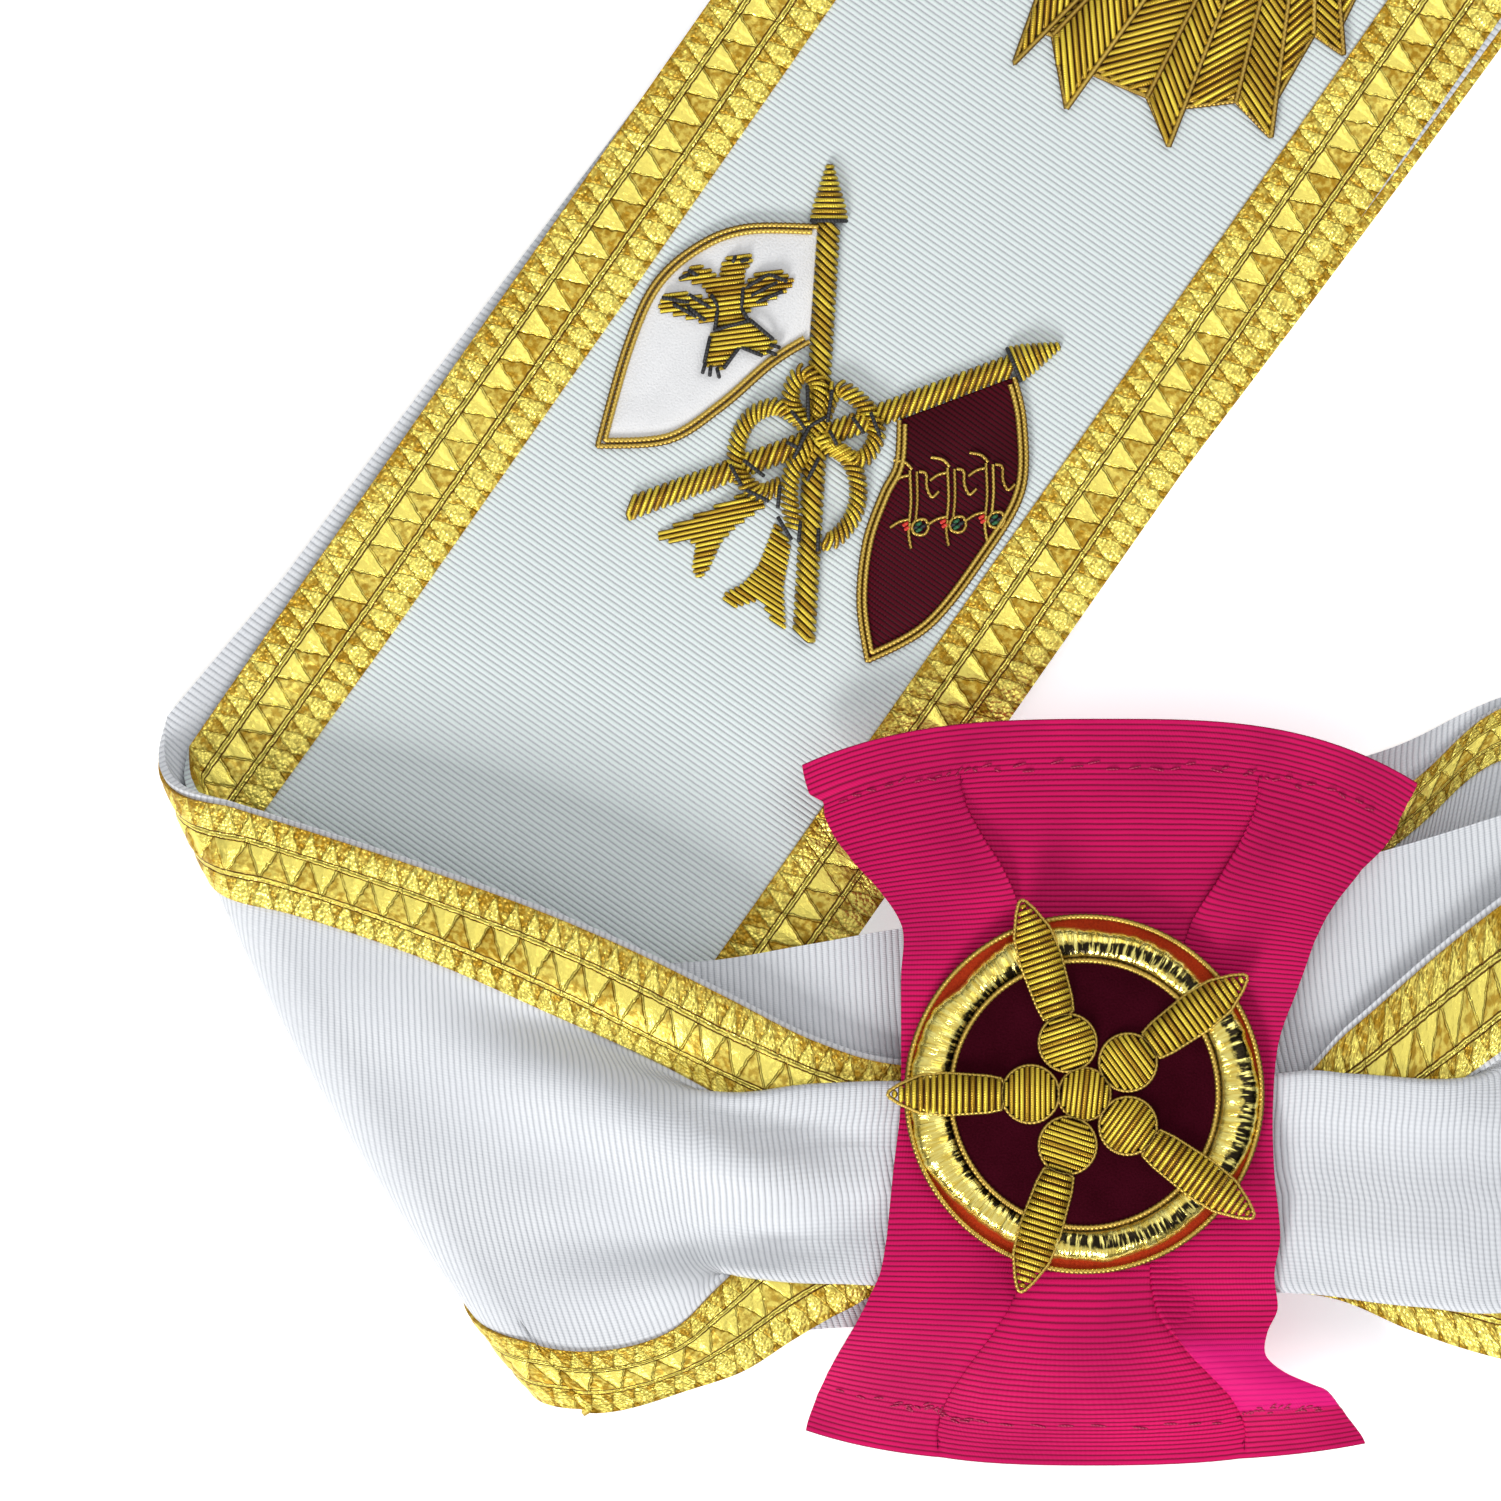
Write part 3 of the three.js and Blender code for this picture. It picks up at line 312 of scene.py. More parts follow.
class Layout:
    """Where the two ribbons run: the strand, the folds and the bow's four layers."""

    def __init__(self) -> None:
        """Work out the strand's and the left fold's directions."""
        angle = math.radians(STRAND.angle)
        tilt = math.radians(BOW.fold_tilt)
        self.up = np.array([math.cos(angle), math.sin(angle)])
        self.across = np.array([self.up[1], -self.up[0]])
        along_fold = np.array([math.cos(tilt), math.sin(tilt)])
        self.out = np.array([along_fold[1], -along_fold[0]])
        self.fold_middle = np.array([BOW.fold_x * BOW.reach, BOW.fold_y])
        half = RIBBON.width / 2 / float(along_fold @ self.across)
        self.climb = -half * float(along_fold @ self.up)
        self.along_fold = along_fold
        edge = np.linspace(LACE_START, LACE_END, 7)
        pleat = np.linspace(LACE_END, CREST + 0.04, 16)[1:]
        inside = np.linspace(CREST + 0.04, 0.96 - CREST, 10)[1:-1]
        self.shares = np.concatenate([[0.0], edge, pleat, inside, 1 - pleat[::-1], 1 - edge[::-1], [1.0]])

    def drift(self, up: float) -> float:
        """Return how far askew the back ribbon lies at a height up the strand."""
        wave = math.sin(((up - 150) / 210) * math.pi * 0.8)
        return STRAND.drift * wave * math.exp(-max(0.0, up - 260) / 160)

    def strand_row(self, up_left: float, up_right: float, z: float, drift: float = 0.0,
                   shares: Array | None = None) -> Array:
        """Return the points across the strand from a height at its left edge to one at its right."""
        shares = self.shares if shares is None else shares
        climb = up_left + (up_right - up_left) * shares
        side = (shares - 0.5) * RIBBON.width + drift
        flat = self.fold_middle + climb[:, None] * self.up + side[:, None] * self.across
        return np.column_stack([flat, np.full(len(flat), z)])

    def fold_row(self, inset: float, z: float, drift: float, slide: Array | float,
                 shares: Array | None = None) -> Array:
        """Return the points along the left fold, a distance inside its outermost line.

        Args:
            inset: that distance.
            z: the height.
            drift: how far askew the ribbon lies.
            slide: how far the points lie further down the fold, one for all or one a point.
            shares: the ribbon's shares, where they are drawn together.

        Returns:
            The points.
        """
        row = self.strand_row(self.climb, -self.climb, z, drift, shares)
        bulge = BOW.fold_bulge * np.sin(self.shares * math.pi) - inset
        row[:, :2] += bulge[:, None] * self.out + np.broadcast_to(slide, len(row))[:, None] * self.along_fold
        return row

    def turn(self, low_row: Array, high_row: Array, out: Array, low: float, high: float,
             upward: bool, count: int) -> Array:
        """Return half a turn of rows about a line.

        Args:
            low_row: the line's points where the lower layer ends.
            high_row: the line's points where the upper layer begins.
            out: the direction in which the fold bulges.
            low: the height of the lower layer's middle.
            high: the height of the upper layer's middle.
            upward: whether the run goes from the lower layer to the upper one.
            count: how many steps the turn has.

        Returns:
            The rows of points, in the order of the run.
        """
        radius = (high - low) / 2
        angles = np.linspace(0, math.pi, count + 1)
        if not upward:
            angles = angles[::-1]
        f = (angles / math.pi)[:, None, None]
        rows = low_row[None] * (1 - f) + high_row[None] * f
        rows[:, :, :2] += (radius * np.sin(angles))[:, None, None] * out
        rows[:, :, 2] = (low + radius * (1 - np.cos(angles)))[:, None]
        return rows

    def swing(self, end: Array, z: float, drift: float, count: int) -> Array:
        """Return the rows that swing from square across the strand to the line of the fold."""
        start = self.strand_row(STRAND.straightens, STRAND.straightens, z, drift)
        f = (np.arange(count) / count)[:, None, None]
        return start[None] * (1 - f) + end[None] * f

    def bow_rise(self, x: Array, y: Array, puff: float, creased: bool) -> Array:
        """Return how far a bow layer stands above its level.

        Args:
            x: places along the bow.
            y: places across it.
            puff: the most that the layer swells.
            creased: whether the layer shows the front's soft creases.

        Returns:
            The rise at each place.
        """
        from_left = (self.fold_middle[0] - x) * self.out[0] + (self.fold_middle[1] - y) * self.out[1]
        from_right = UPPER_INNER[-1].top_x * BOW.reach - x
        ends = smooth(from_left, 2, 36) * smooth(from_right, 2, 36)
        rise = puff * smooth(np.abs(x), 24, 66) * ends * np.exp(-((y / (0.6 * RIBBON.width)) ** 2))
        return rise + ends * self.creases(x, y) if creased else rise

    def creases(self, x: Array, y: Array) -> Array:
        """Return the height that the listed soft creases add at each place."""
        total = np.zeros_like(x)
        for crease in CREASES:
            run = np.array([crease.x1 - crease.x0, crease.y1 - crease.y0])
            length = float(np.hypot(*run))
            run /= length
            along = ((x - crease.x0) * run[0] + (y - crease.y0) * run[1]) / length
            off = (x - crease.x0) * -run[1] + (y - crease.y0) * run[0]
            fade = smooth(along, -0.12, 0.3) * (1 - smooth(along, 0.7, 1.12))
            total += crease.height * fade * np.exp(-((off / crease.spread) ** 2))
        return total

    def layer(self, table: Sequence[Section], t: Array, height: Callable) -> Array:
        """Return rows of points over a bow layer.

        Args:
            table: the layer's sections.
            t: the rows' places, from 0 at the first section to 1 at the last.
            height: gives the height at places x and y.

        Returns:
            The points, one row for each place.
        """
        values = follow(np.array([section.row() for section in table]), t)
        down = self.drawn(values)
        x = (values[:, 0:1] * (1 - down) + values[:, 2:3] * down) * BOW.reach
        y = (values[:, 1:2] * (1 - down) + values[:, 3:4] * down) * RIBBON.width
        return np.dstack([x, y, height(x, y) + self.pleat_lift(values)])

    def drawn(self, values: Array) -> Array:
        """Return how far down its section each share of the ribbon lies, for each row of section values."""
        lace, crest, hem_crest, hem = values[:, 4:8].T
        slack = TUCK - LACE_END
        start, end = np.zeros_like(lace), np.ones_like(lace)
        places = np.stack([start, lace, lace + slack, crest, hem_crest, hem - slack, hem, end], axis=1)
        return soft_line(self.shares, KNOTS, places)

    def pleat_lift(self, values: Array) -> Array:
        """Return how far the pleats lift the ribbon over its lace, and lower the lace under them."""
        length = np.hypot((values[:, 0] - values[:, 2]) * BOW.reach,
                          (values[:, 1] - values[:, 3]) * RIBBON.width)
        upper = smooth((values[:, 4] - values[:, 5]) * length, -6, 4)
        lower = smooth((values[:, 6] - values[:, 7]) * length, -6, 4)
        low, high = -BOW.pleat_low, BOW.pleat_high
        knots = np.array([0, LACE_END, TUCK, (TUCK + CREST) / 2, CREST - 0.01, CREST + 0.03])
        rise = np.array([low, low, low + 0.15, 0.3, high - 0.45, high])
        places = np.concatenate([knots, [0.5], 1 - knots[::-1]])
        middle = 0.2 * high * (upper + lower)
        lifts = np.concatenate([upper[:, None] * rise, middle[:, None], lower[:, None] * rise[::-1]], axis=1)
        return soft_line(self.shares, places, lifts)

    def eased(self, rows: Array, fold: Array, t: Array) -> Array:
        """Draw a layer's first rows to the line of the fold that they leave."""
        near = (np.clip(1 - t / 0.18, 0, 1) ** 2)[:, None, None]
        return rows * (1 - near) + fold[None] * near


@dataclass
class Run:
    """One ribbon's middle surface: its grid of points, and where along it the bow and its folds lie."""

    grid: Array
    marks: dict[str, int]
    shares: Array

    def __post_init__(self) -> None:
        """Measure the run and its normals."""
        steps = np.linalg.norm(np.diff(self.grid, axis=0), axis=2)
        self.travel = np.concatenate([np.zeros((1, len(self.shares))), np.cumsum(steps, axis=0)])
        self.along = self.travel[:, len(self.shares) // 2]
        self.normals = grid_normals(self.grid)

    def places(self) -> Array:
        """Return each point's place on the flat ribbon."""
        return np.dstack([self.travel, np.broadcast_to(self.shares * RIBBON.width, self.travel.shape)])

    def length(self) -> float:
        """Return the run's length in millimetres."""
        return float(self.along[-1])

    def resample(self, along: Array, shares: Array) -> tuple[Array, Array, Array]:
        """Return points and normals at other places on the run.

        Args:
            along: distances along the run.
            shares: shares of its width.

        Returns:
            The grid of points, the grid of normals and each point's distance along its own thread.
        """
        row = np.interp(along, self.along, np.arange(len(self.along)))
        col = np.interp(shares, self.shares, np.arange(len(self.shares)))
        r0 = np.clip(np.floor(row).astype(int), 0, len(self.along) - 2)
        c0 = np.clip(np.floor(col).astype(int), 0, len(self.shares) - 2)
        fr = (row - r0)[:, None, None]
        fc = (col - c0)[None, :, None]

        def blend(a: Array) -> Array:
            """Mix the four nearest values of a grid."""
            near = a[r0][:, c0] * (1 - fc) + a[r0][:, c0 + 1] * fc
            far = a[r0 + 1][:, c0] * (1 - fc) + a[r0 + 1][:, c0 + 1] * fc
            return near * (1 - fr) + far * fr

        normals = blend(self.normals)
        travel = blend(self.travel[:, :, None])[:, :, 0]
        return blend(self.grid), normals / np.linalg.norm(normals, axis=2, keepdims=True), travel


def grid_normals(grid: Array) -> Array:
    """Return the unit normals of a grid of points."""
    along = np.gradient(grid, axis=0)
    across = np.gradient(grid, axis=1)
    normal = np.cross(along, across)
    return normal / np.maximum(np.linalg.norm(normal, axis=2, keepdims=True), 1e-9)


# Meshes


class Form:
    """Gathers points, faces and cloth coordinates of one piece, in millimetres, and makes its object."""

    def __init__(self, name: str) -> None:
        """Start an empty piece."""
        self.name = name
        self.points: list[Array] = []
        self.places: list[Array] = []
        self.faces: list[Array] = []
        self.slots: list[Array] = []
        self.count = 0

    def add(self, points: Array, places: Array, faces: Array, slot: int = 0) -> None:
        """Add points, their cloth coordinates and the faces among them.

        Args:
            points: an array of points, millimetres.
            places: two cloth coordinates for each point.
            faces: the corners of each face, counted within these points.
            slot: the material slot of these faces.
        """
        self.points.append(points.reshape(-1, 3))
        self.places.append(places.reshape(-1, 2))
        self.faces.append(faces + self.count)
        self.slots.append(np.full(len(faces), slot))
        self.count += points.reshape(-1, 3).shape[0]

    def add_grid(self, grid: Array, places: Array, slot: int = 0, flip: bool = False) -> None:
        """Add a grid of points as a surface."""
        rows, columns = grid.shape[:2]
        corner = (np.arange(rows - 1)[:, None] * columns + np.arange(columns - 1)[None]).ravel()
        quads = np.column_stack([corner, corner + columns, corner + columns + 1, corner + 1])
        self.add(grid, places, quads[:, ::-1] if flip else quads, slot)

    def add_slab(self, grid: Array, normals: Array, low: float, high: Array | float,
                 places: Array, slot: int = 0) -> None:
        """Add a closed sheet between two offsets of a grid.

        Args:
            grid: the middle surface.
            normals: its normals.
            low: the lower face's distance along the normals.
            high: the upper face's distance, one for all or one for each point.
            places: the cloth coordinates of each point.
            slot: the material slot.
        """
        height = np.broadcast_to(np.asarray(high, float), grid.shape[:2])[:, :, None]
        upper = grid + normals * height
        lower = grid + normals * low
        self.add_grid(upper, places, slot)
        self.add_grid(lower, places, slot, flip=True)
        rims = ((np.s_[0], False), (np.s_[-1], True))
        for cut, flip in rims:
            self.add_grid(np.stack([upper[cut], lower[cut]]), np.stack([places[cut]] * 2), slot, not flip)
            side = np.s_[:, cut]
            self.add_grid(np.stack([upper[side], lower[side]]), np.stack([places[side]] * 2), slot, flip)

    def add_threads(self, threads: Array, radius: float, spacing: float, first: int = 0) -> None:
        """Add threads over a flat strip that shows between them, painted all over in the gaps' shade."""
        self.add_tubes(threads, radius, OVER_TOP, 0, first)
        self.add_tubes(threads - 0.5 * radius * UP, spacing / 2, FLAT_STRIP, 0, first, shaded=True)

    def add_tubes(self, lines: Array, radius: Array | float, angles: Array, slot: int = 0,
                  first: int = 0, shaded: bool = False) -> None:
        """Add round threads along lines.

        Args:
            lines: the threads' points, one line a thread.
            radius: one radius for all, or one for each point.
            angles: where round the thread its points lie, from the right side over the top.
            slot: the material slot.
            first: the number of the first thread, which its cloth coordinates tell apart.
            shaded: whether all of it is painted in the shade of the gaps between threads.
        """
        count, steps = lines.shape[:2]
        tangent = np.gradient(lines, axis=1)
        tangent /= np.maximum(np.linalg.norm(tangent, axis=2, keepdims=True), 1e-9)
        side = np.cross(tangent, UP)
        side /= np.maximum(np.linalg.norm(side, axis=2, keepdims=True), 1e-6)
        above = np.cross(side, tangent)
        size = np.broadcast_to(np.asarray(radius, float), (count, steps))[:, :, None, None]
        ring = np.cos(angles)[:, None] * side[:, :, None] + np.sin(angles)[:, None] * above[:, :, None]
        points = lines[:, :, None] + size * ring
        travel = np.concatenate([np.zeros((count, 1)), np.cumsum(
            np.linalg.norm(np.diff(lines, axis=1), axis=2), axis=1)], axis=1)
        # At a thread's sides, and all over a shaded strip, the share lies near its ends, where the coil
        # effect paints the gaps' shade.
        share = np.full(len(angles), 0.005) if shaded else np.linspace(0.0, 1.0, len(angles)) * 0.98 + 0.01
        places = np.empty((count, steps, len(angles), 2))
        places[..., 0] = travel[:, :, None]
        places[..., 1] = (np.arange(count) + first)[:, None, None] + share
        k, n, m = points.shape[:3]
        corner = (np.arange(k)[:, None, None] * n + np.arange(n - 1)[None, :, None]) * m + np.arange(m - 1)
        corner = corner.ravel()
        self.add(points, places, np.column_stack([corner, corner + 1, corner + m + 1, corner + m]), slot)

    def make(self, materials: Sequence[bpy.types.Material], nodes: Sequence[str]) -> bpy.types.Object:
        """Make the object, let it ride and let it stand for its CAD nodes.

        Args:
            materials: the materials, in the order of the slots.
            nodes: the CAD nodes that it stands for.

        Returns:
            The object.
        """
        points = (np.concatenate(self.points) + ORIGIN) * MM
        mesh = bpy.data.meshes.new(self.name)
        faces = [face for block in self.faces for face in block.tolist()]
        mesh.from_pydata(points.tolist(), [], faces)
        layer = mesh.uv_layers.new(name="cloth")
        corners = np.empty(len(mesh.loops), int)
        mesh.loops.foreach_get("vertex_index", corners)
        layer.data.foreach_set("uv", np.concatenate(self.places)[corners].astype(np.float32).ravel())
        for material in materials:
            mesh.materials.append(material)
        mesh.polygons.foreach_set("material_index", np.concatenate(self.slots).astype(np.int32))
        mesh.polygons.foreach_set("use_smooth", np.ones(len(faces), bool))
        mesh.update()
        made = bpy.data.objects.new(self.name, mesh)
        bpy.context.scene.collection.objects.link(made)
        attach(made, "root")
        if nodes:
            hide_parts(*nodes)
        LOG.info("%s: %d faces", self.name, len(faces))
        return made


def badge_origin() -> Array:
    """Return where the badge's middle lies on the table in the frame, in millimetres."""
    low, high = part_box("badge_felt")
    return np.array([(low[0] + high[0]) / 2, (low[1] + high[1]) / 2, 0.0]) / MM


ORIGIN = badge_origin()


# Shader building


class Value:
    """A number or colour that changes over a surface, and adds up as a plain number does."""

    def __init__(self, tree: "Tree", socket: bpy.types.NodeSocket) -> None:
        """Hold the output that gives it."""
        self.tree = tree
        self.socket = socket

    def __add__(self, other: "Value | float") -> "Value":
        """Add another."""
        return self.tree.math("ADD", self, other)

    def __sub__(self, other: "Value | float") -> "Value":
        """Take another away."""
        return self.tree.math("SUBTRACT", self, other)

    def __rsub__(self, other: float) -> "Value":
        """Take this away from a number."""
        return self.tree.math("SUBTRACT", other, self)

    def __mul__(self, other: "Value | float") -> "Value":
        """Multiply by another."""
        return self.tree.math("MULTIPLY", self, other)

    def __truediv__(self, other: "Value | float") -> "Value":
        """Divide by another."""
        return self.tree.math("DIVIDE", self, other)

    def __abs__(self) -> "Value":
        """Drop the sign."""
        return self.tree.math("ABSOLUTE", self)


class Tree:
    """Adds and joins the nodes of a material or of a shared effect."""

    def __init__(self, tree: bpy.types.NodeTree) -> None:
        """Take a node tree."""
        self.tree = tree

    def set(self, socket: bpy.types.NodeSocket, value: object) -> None:
        """Join a socket to a value that changes, or give it a constant."""
        if isinstance(value, Value):
            self.tree.links.new(value.socket, socket)
        else:
            socket.default_value = value

    def node(self, kind: str, settings: dict | None = None, **inputs: object) -> bpy.types.Node:
        """Add a node.

        Args:
            kind: the node's type.
            settings: its own properties.
            inputs: what its inputs get, with _ for a space in a name.

        Returns:
            The node.
        """
        made = self.tree.nodes.new(kind)
        for key, value in (settings or {}).items():
            setattr(made, key, value)
        for key, value in inputs.items():
            self.set(made.inputs[key.replace("_", " ")], value)
        return made

    def joined(self, kind: str, settings: dict, inputs: dict[int, object], output: int = 0) -> Value:
        """Add a node whose inputs are told apart by number.

        Args:
            kind: the node's type.
            settings: its own properties.
            inputs: what its numbered inputs get.
            output: the number of the output wanted.

        Returns:
            That output.
        """
        made = self.node(kind, settings)
        for index, value in inputs.items():
            self.set(made.inputs[index], value)
        return Value(self, made.outputs[output])

    def math(self, operation: str, *values: object) -> Value:
        """Work out a sum."""
        return self.joined("ShaderNodeMath", {"operation": operation}, dict(enumerate(values)))

    def vector(self, operation: str, place: Value, by: tuple[float, float, float]) -> Value:
        """Shift or stretch a place."""
        return self.joined("ShaderNodeVectorMath", {"operation": operation}, {0: place, 1: by})

    def mix(self, factor: Value, a: object, b: object) -> Value:
        """Mix two colours."""
        return self.joined("ShaderNodeMix", {"data_type": "RGBA"}, {0: factor, 6: a, 7: b}, 2)

    def ramp(self, value: Value, low: float, high: float, a: float = 0.0, b: float = 1.0) -> Value:
        """Map a range smoothly to another, within its ends."""
        made = self.node("ShaderNodeMapRange", {"interpolation_type": "SMOOTHSTEP"}, Value=value,
                         From_Min=low, From_Max=high, To_Min=a, To_Max=b)
        return Value(self, made.outputs[0])

    def noise(self, place: Value, scale: Value | float, detail: float = 2.0) -> Value:
        """Return an uneven value around one half."""
        made = self.node("ShaderNodeTexNoise", Vector=place, Scale=scale, Detail=detail)
        return Value(self, made.outputs[0])

    def parts(self, place: Value) -> list[Value]:
        """Split a place into its three numbers."""
        return [Value(self, part) for part in self.node("ShaderNodeSeparateXYZ", Vector=place).outputs]


class Effect:
    """A shared effect: a node group with named inputs and outputs."""

    def __init__(self, name: str, **inputs: float | None) -> None:
        """Make the group and its inputs.

        Args:
            name: the group's name.
            inputs: each input with its usual value, or None for a place.
        """
        self.group = bpy.data.node_groups.new(name, "ShaderNodeTree")
        for key, value in inputs.items():
            kind = "NodeSocketVector" if value is None else "NodeSocketFloat"
            socket = self.group.interface.new_socket(key, in_out="INPUT", socket_type=kind)
            if value is not None:
                socket.default_value = value
        self.tree = Tree(self.group)
        sockets = self.group.nodes.new("NodeGroupInput").outputs
        self.given = {socket.name: Value(self.tree, socket) for socket in sockets}

    def give(self, **results: Value) -> "Effect":
        """Add an output for each result.

        Args:
            results: the results by their names.

        Returns:
            The effect itself.
        """
        for key in results:
            self.group.interface.new_socket(key, in_out="OUTPUT", socket_type="NodeSocketFloat")
        ends = self.group.nodes.new("NodeGroupOutput").inputs
        for key, value in results.items():
            self.tree.set(ends[key], value)
        return self

    def place(self, tree: Tree, **inputs: object) -> dict[str, Value]:
        """Place the effect in a material.

        Args:
            tree: the material's tree.
            inputs: what the effect's inputs get.

        Returns:
            The effect's outputs by their names.
        """
        made = tree.node("ShaderNodeGroup", {"node_tree": self.group}, **inputs)
        return {socket.name: Value(tree, socket) for socket in made.outputs}


def rib_effect() -> Effect:
    """Ribs across a ribbon, fine along their crests: a height, and how deep in a valley a point is, which
    places the painted shade in the rib valleys.
    """
    made = Effect("ribs", Place=None, Pitch=0.8, Waver=0.15)
    tree, given = made.tree, made.given
    along, across, _ = tree.parts(given["Place"])
    waver = (tree.noise(given["Place"], 0.35) - 0.5) * given["Waver"]
    crest = abs(tree.math("SINE", (along / given["Pitch"] + waver) * math.pi))
    thread = tree.math("SINE", across * (2 * math.pi / THREAD_PITCH))
    # The second output marks where painted shade goes: 1 in a rib's valley, 0 on its crest.
    return made.give(Height=tree.math("POWER", crest, 0.7) + thread * 0.1,
                     Valley=tree.ramp(crest, 0.1, 0.88, 1.0, 0.0))


def mottle_effect() -> Effect:
    """Slow, uneven variation over a surface, around one half."""
    made = Effect("mottle", Place=None, Scale=1.0)
    return made.give(Value=made.tree.noise(made.given["Place"], made.given["Scale"], 4.0))


def emboss_effect() -> Effect:
    """Pressed foil lace: triangles in a middle band, small ones beside it, and stitched seams between, with
    painted light that makes the triangles pointing one way lighter than the others.
    """
    made = Effect("emboss", Place=None, Width=15.0, Pitch=5.0)
    tree, place = made.tree, made.given["Place"]
    along, side, _ = tree.parts(place)
    bend = (tree.noise(place, 0.8) - 0.5) * 1.6
    share = (side + bend * 0.25) / made.given["Width"]
    turns = (along + bend * 0.5) / made.given["Pitch"]
    zig = tree.math("PINGPONG", turns * 2.0, 1.0)
    zag = tree.math("PINGPONG", turns * 3.0, 1.0)
    middle = (share - SEAM_LOW) / (SEAM_HIGH - SEAM_LOW)
    beside = tree.math("PINGPONG", (share - SEAM_LOW) * OUTER_ROWS, 1.0)
    above = tree.ramp(share, SEAM_LOW - 0.01, SEAM_LOW + 0.01)
    inner = above * tree.ramp(share, SEAM_HIGH - 0.01, SEAM_HIGH + 0.01, 1.0, 0.0)
    outer = 1.0 - inner
    gap = (zig * inner + zag * outer) - (middle * inner + beside * outer)
    facet = tree.ramp(abs(gap), 0.01, 0.12)
    rise = (abs(gap) * 0.5 + facet * 0.4) * (inner * 0.6 + 0.7)
    edge = tree.math("MINIMUM", share, 1.0 - share)
    seam = tree.math("MINIMUM", abs(share - SEAM_LOW), abs(share - SEAM_HIGH))
    groove = tree.ramp(abs(seam - 0.03), 0.003, 0.01, 1.0, 0.0)
    crumple = tree.node("ShaderNodeTexVoronoi", {"feature": "F1"}, Vector=place, Scale=1.6)
    rough = Value(tree, crumple.outputs["Distance"]) * (outer * 0.5 + 0.15)
    # Painted light: triangles on one side of the zigzag are painted lighter than those on the other, as the
    # fixed light falls on their facets.
    lit = tree.ramp(gap, -0.05, 0.05) * 0.65 + facet * 0.15
    patch = tree.ramp(tree.noise(place, 0.9), 0.36, 0.64, -0.2, 0.2)
    slow = tree.ramp(tree.noise(place, 0.07), 0.3, 0.7, -0.15, 0.15)
    thread = tree.ramp(seam, 0.016, 0.024, 1.2, 0.0) - tree.ramp(edge, 0.0, 0.02, 0.25, 0.0)
    pattern = lit * (inner * 0.3 + 0.7) + 0.2
    return made.give(Height=rise - rough - groove * 0.6, Tone=pattern + (patch + slow) + thread, Seam=groove)


def coil_effect() -> Effect:
    """Coiled wire: turns along a thread, painted shade at each thread's sides and in the gaps between
    threads, and a tone for each thread.
    """
    made = Effect("coil", Place=None, Turn=0.35, Slant=0.25)
    tree, given = made.tree, made.given
    along, across, _ = tree.parts(given["Place"])
    share = tree.math("FRACT", across)
    number = tree.math("FLOOR", across)
    turn = tree.math("SINE", (along + share * given["Slant"]) / given["Turn"] * (2 * math.pi))
    white = tree.node("ShaderNodeTexWhiteNoise", {"noise_dimensions": "1D"}, W=number)
    # Painted shade: dark towards a thread's sides, and all over the strips laid between threads.
    gap = tree.ramp(abs(share - 0.5), 0.2, 0.48)
    return made.give(Height=turn, Gap=gap, Tone=Value(tree, white.outputs[0]))


class Effects:
    """The shared effects, each built once."""

    def __init__(self) -> None:
        """Build every effect."""
        self.ribs = rib_effect()
        self.mottle = mottle_effect()
        self.emboss = emboss_effect()
        self.coil = coil_effect()


class Look(Tree):
    """A new material: its Principled shader and the cloth coordinates of its piece."""

    def __init__(self, name: str, effects: Effects) -> None:
        """Start the material."""
        self.material = bpy.data.materials.new(name)
        self.material.use_nodes = True
        super().__init__(self.material.node_tree)
        self.effects = effects
        self.place = Value(self, self.node("ShaderNodeUVMap", {"uv_map": "cloth"}).outputs[0])

    def mottle(self, scale: float, place: Value | None = None) -> Value:
        """Return the shared uneven variation at a scale."""
        return self.effects.mottle.place(self, Place=place or self.place, Scale=scale)["Value"]

    def finish(self, height: Value, depth: float, strength: float, **inputs: object) -> None:
        """Lay the relief and set the shader.

        Args:
            height: the relief.
            depth: its depth in metres.
            strength: how strongly it shows.
            inputs: what the shader's sockets get, with _ for a space in a name.
        """
        bump = self.node("ShaderNodeBump", Height=height, Distance=depth, Strength=strength)
        inputs["Normal"] = Value(self, bump.outputs[0])
        shader = self.tree.nodes["Principled BSDF"]
        for key, value in inputs.items():
            self.set(shader.inputs[key.replace("_", " ")], value)


Colour = tuple[float, float, float, float]


class Finish:
    """A finish of the sash."""

    name: str

    def material(self, effects: Effects) -> bpy.types.Material:
        """Build the finish's material.

        Args:
            effects: the shared effects.

        Returns:
            The material.
        """
        look = Look(self.name, effects)
        self.dress(look)
        return look.material

    def dress(self, look: Look) -> None:
        """Give a new material this finish."""
        raise NotImplementedError


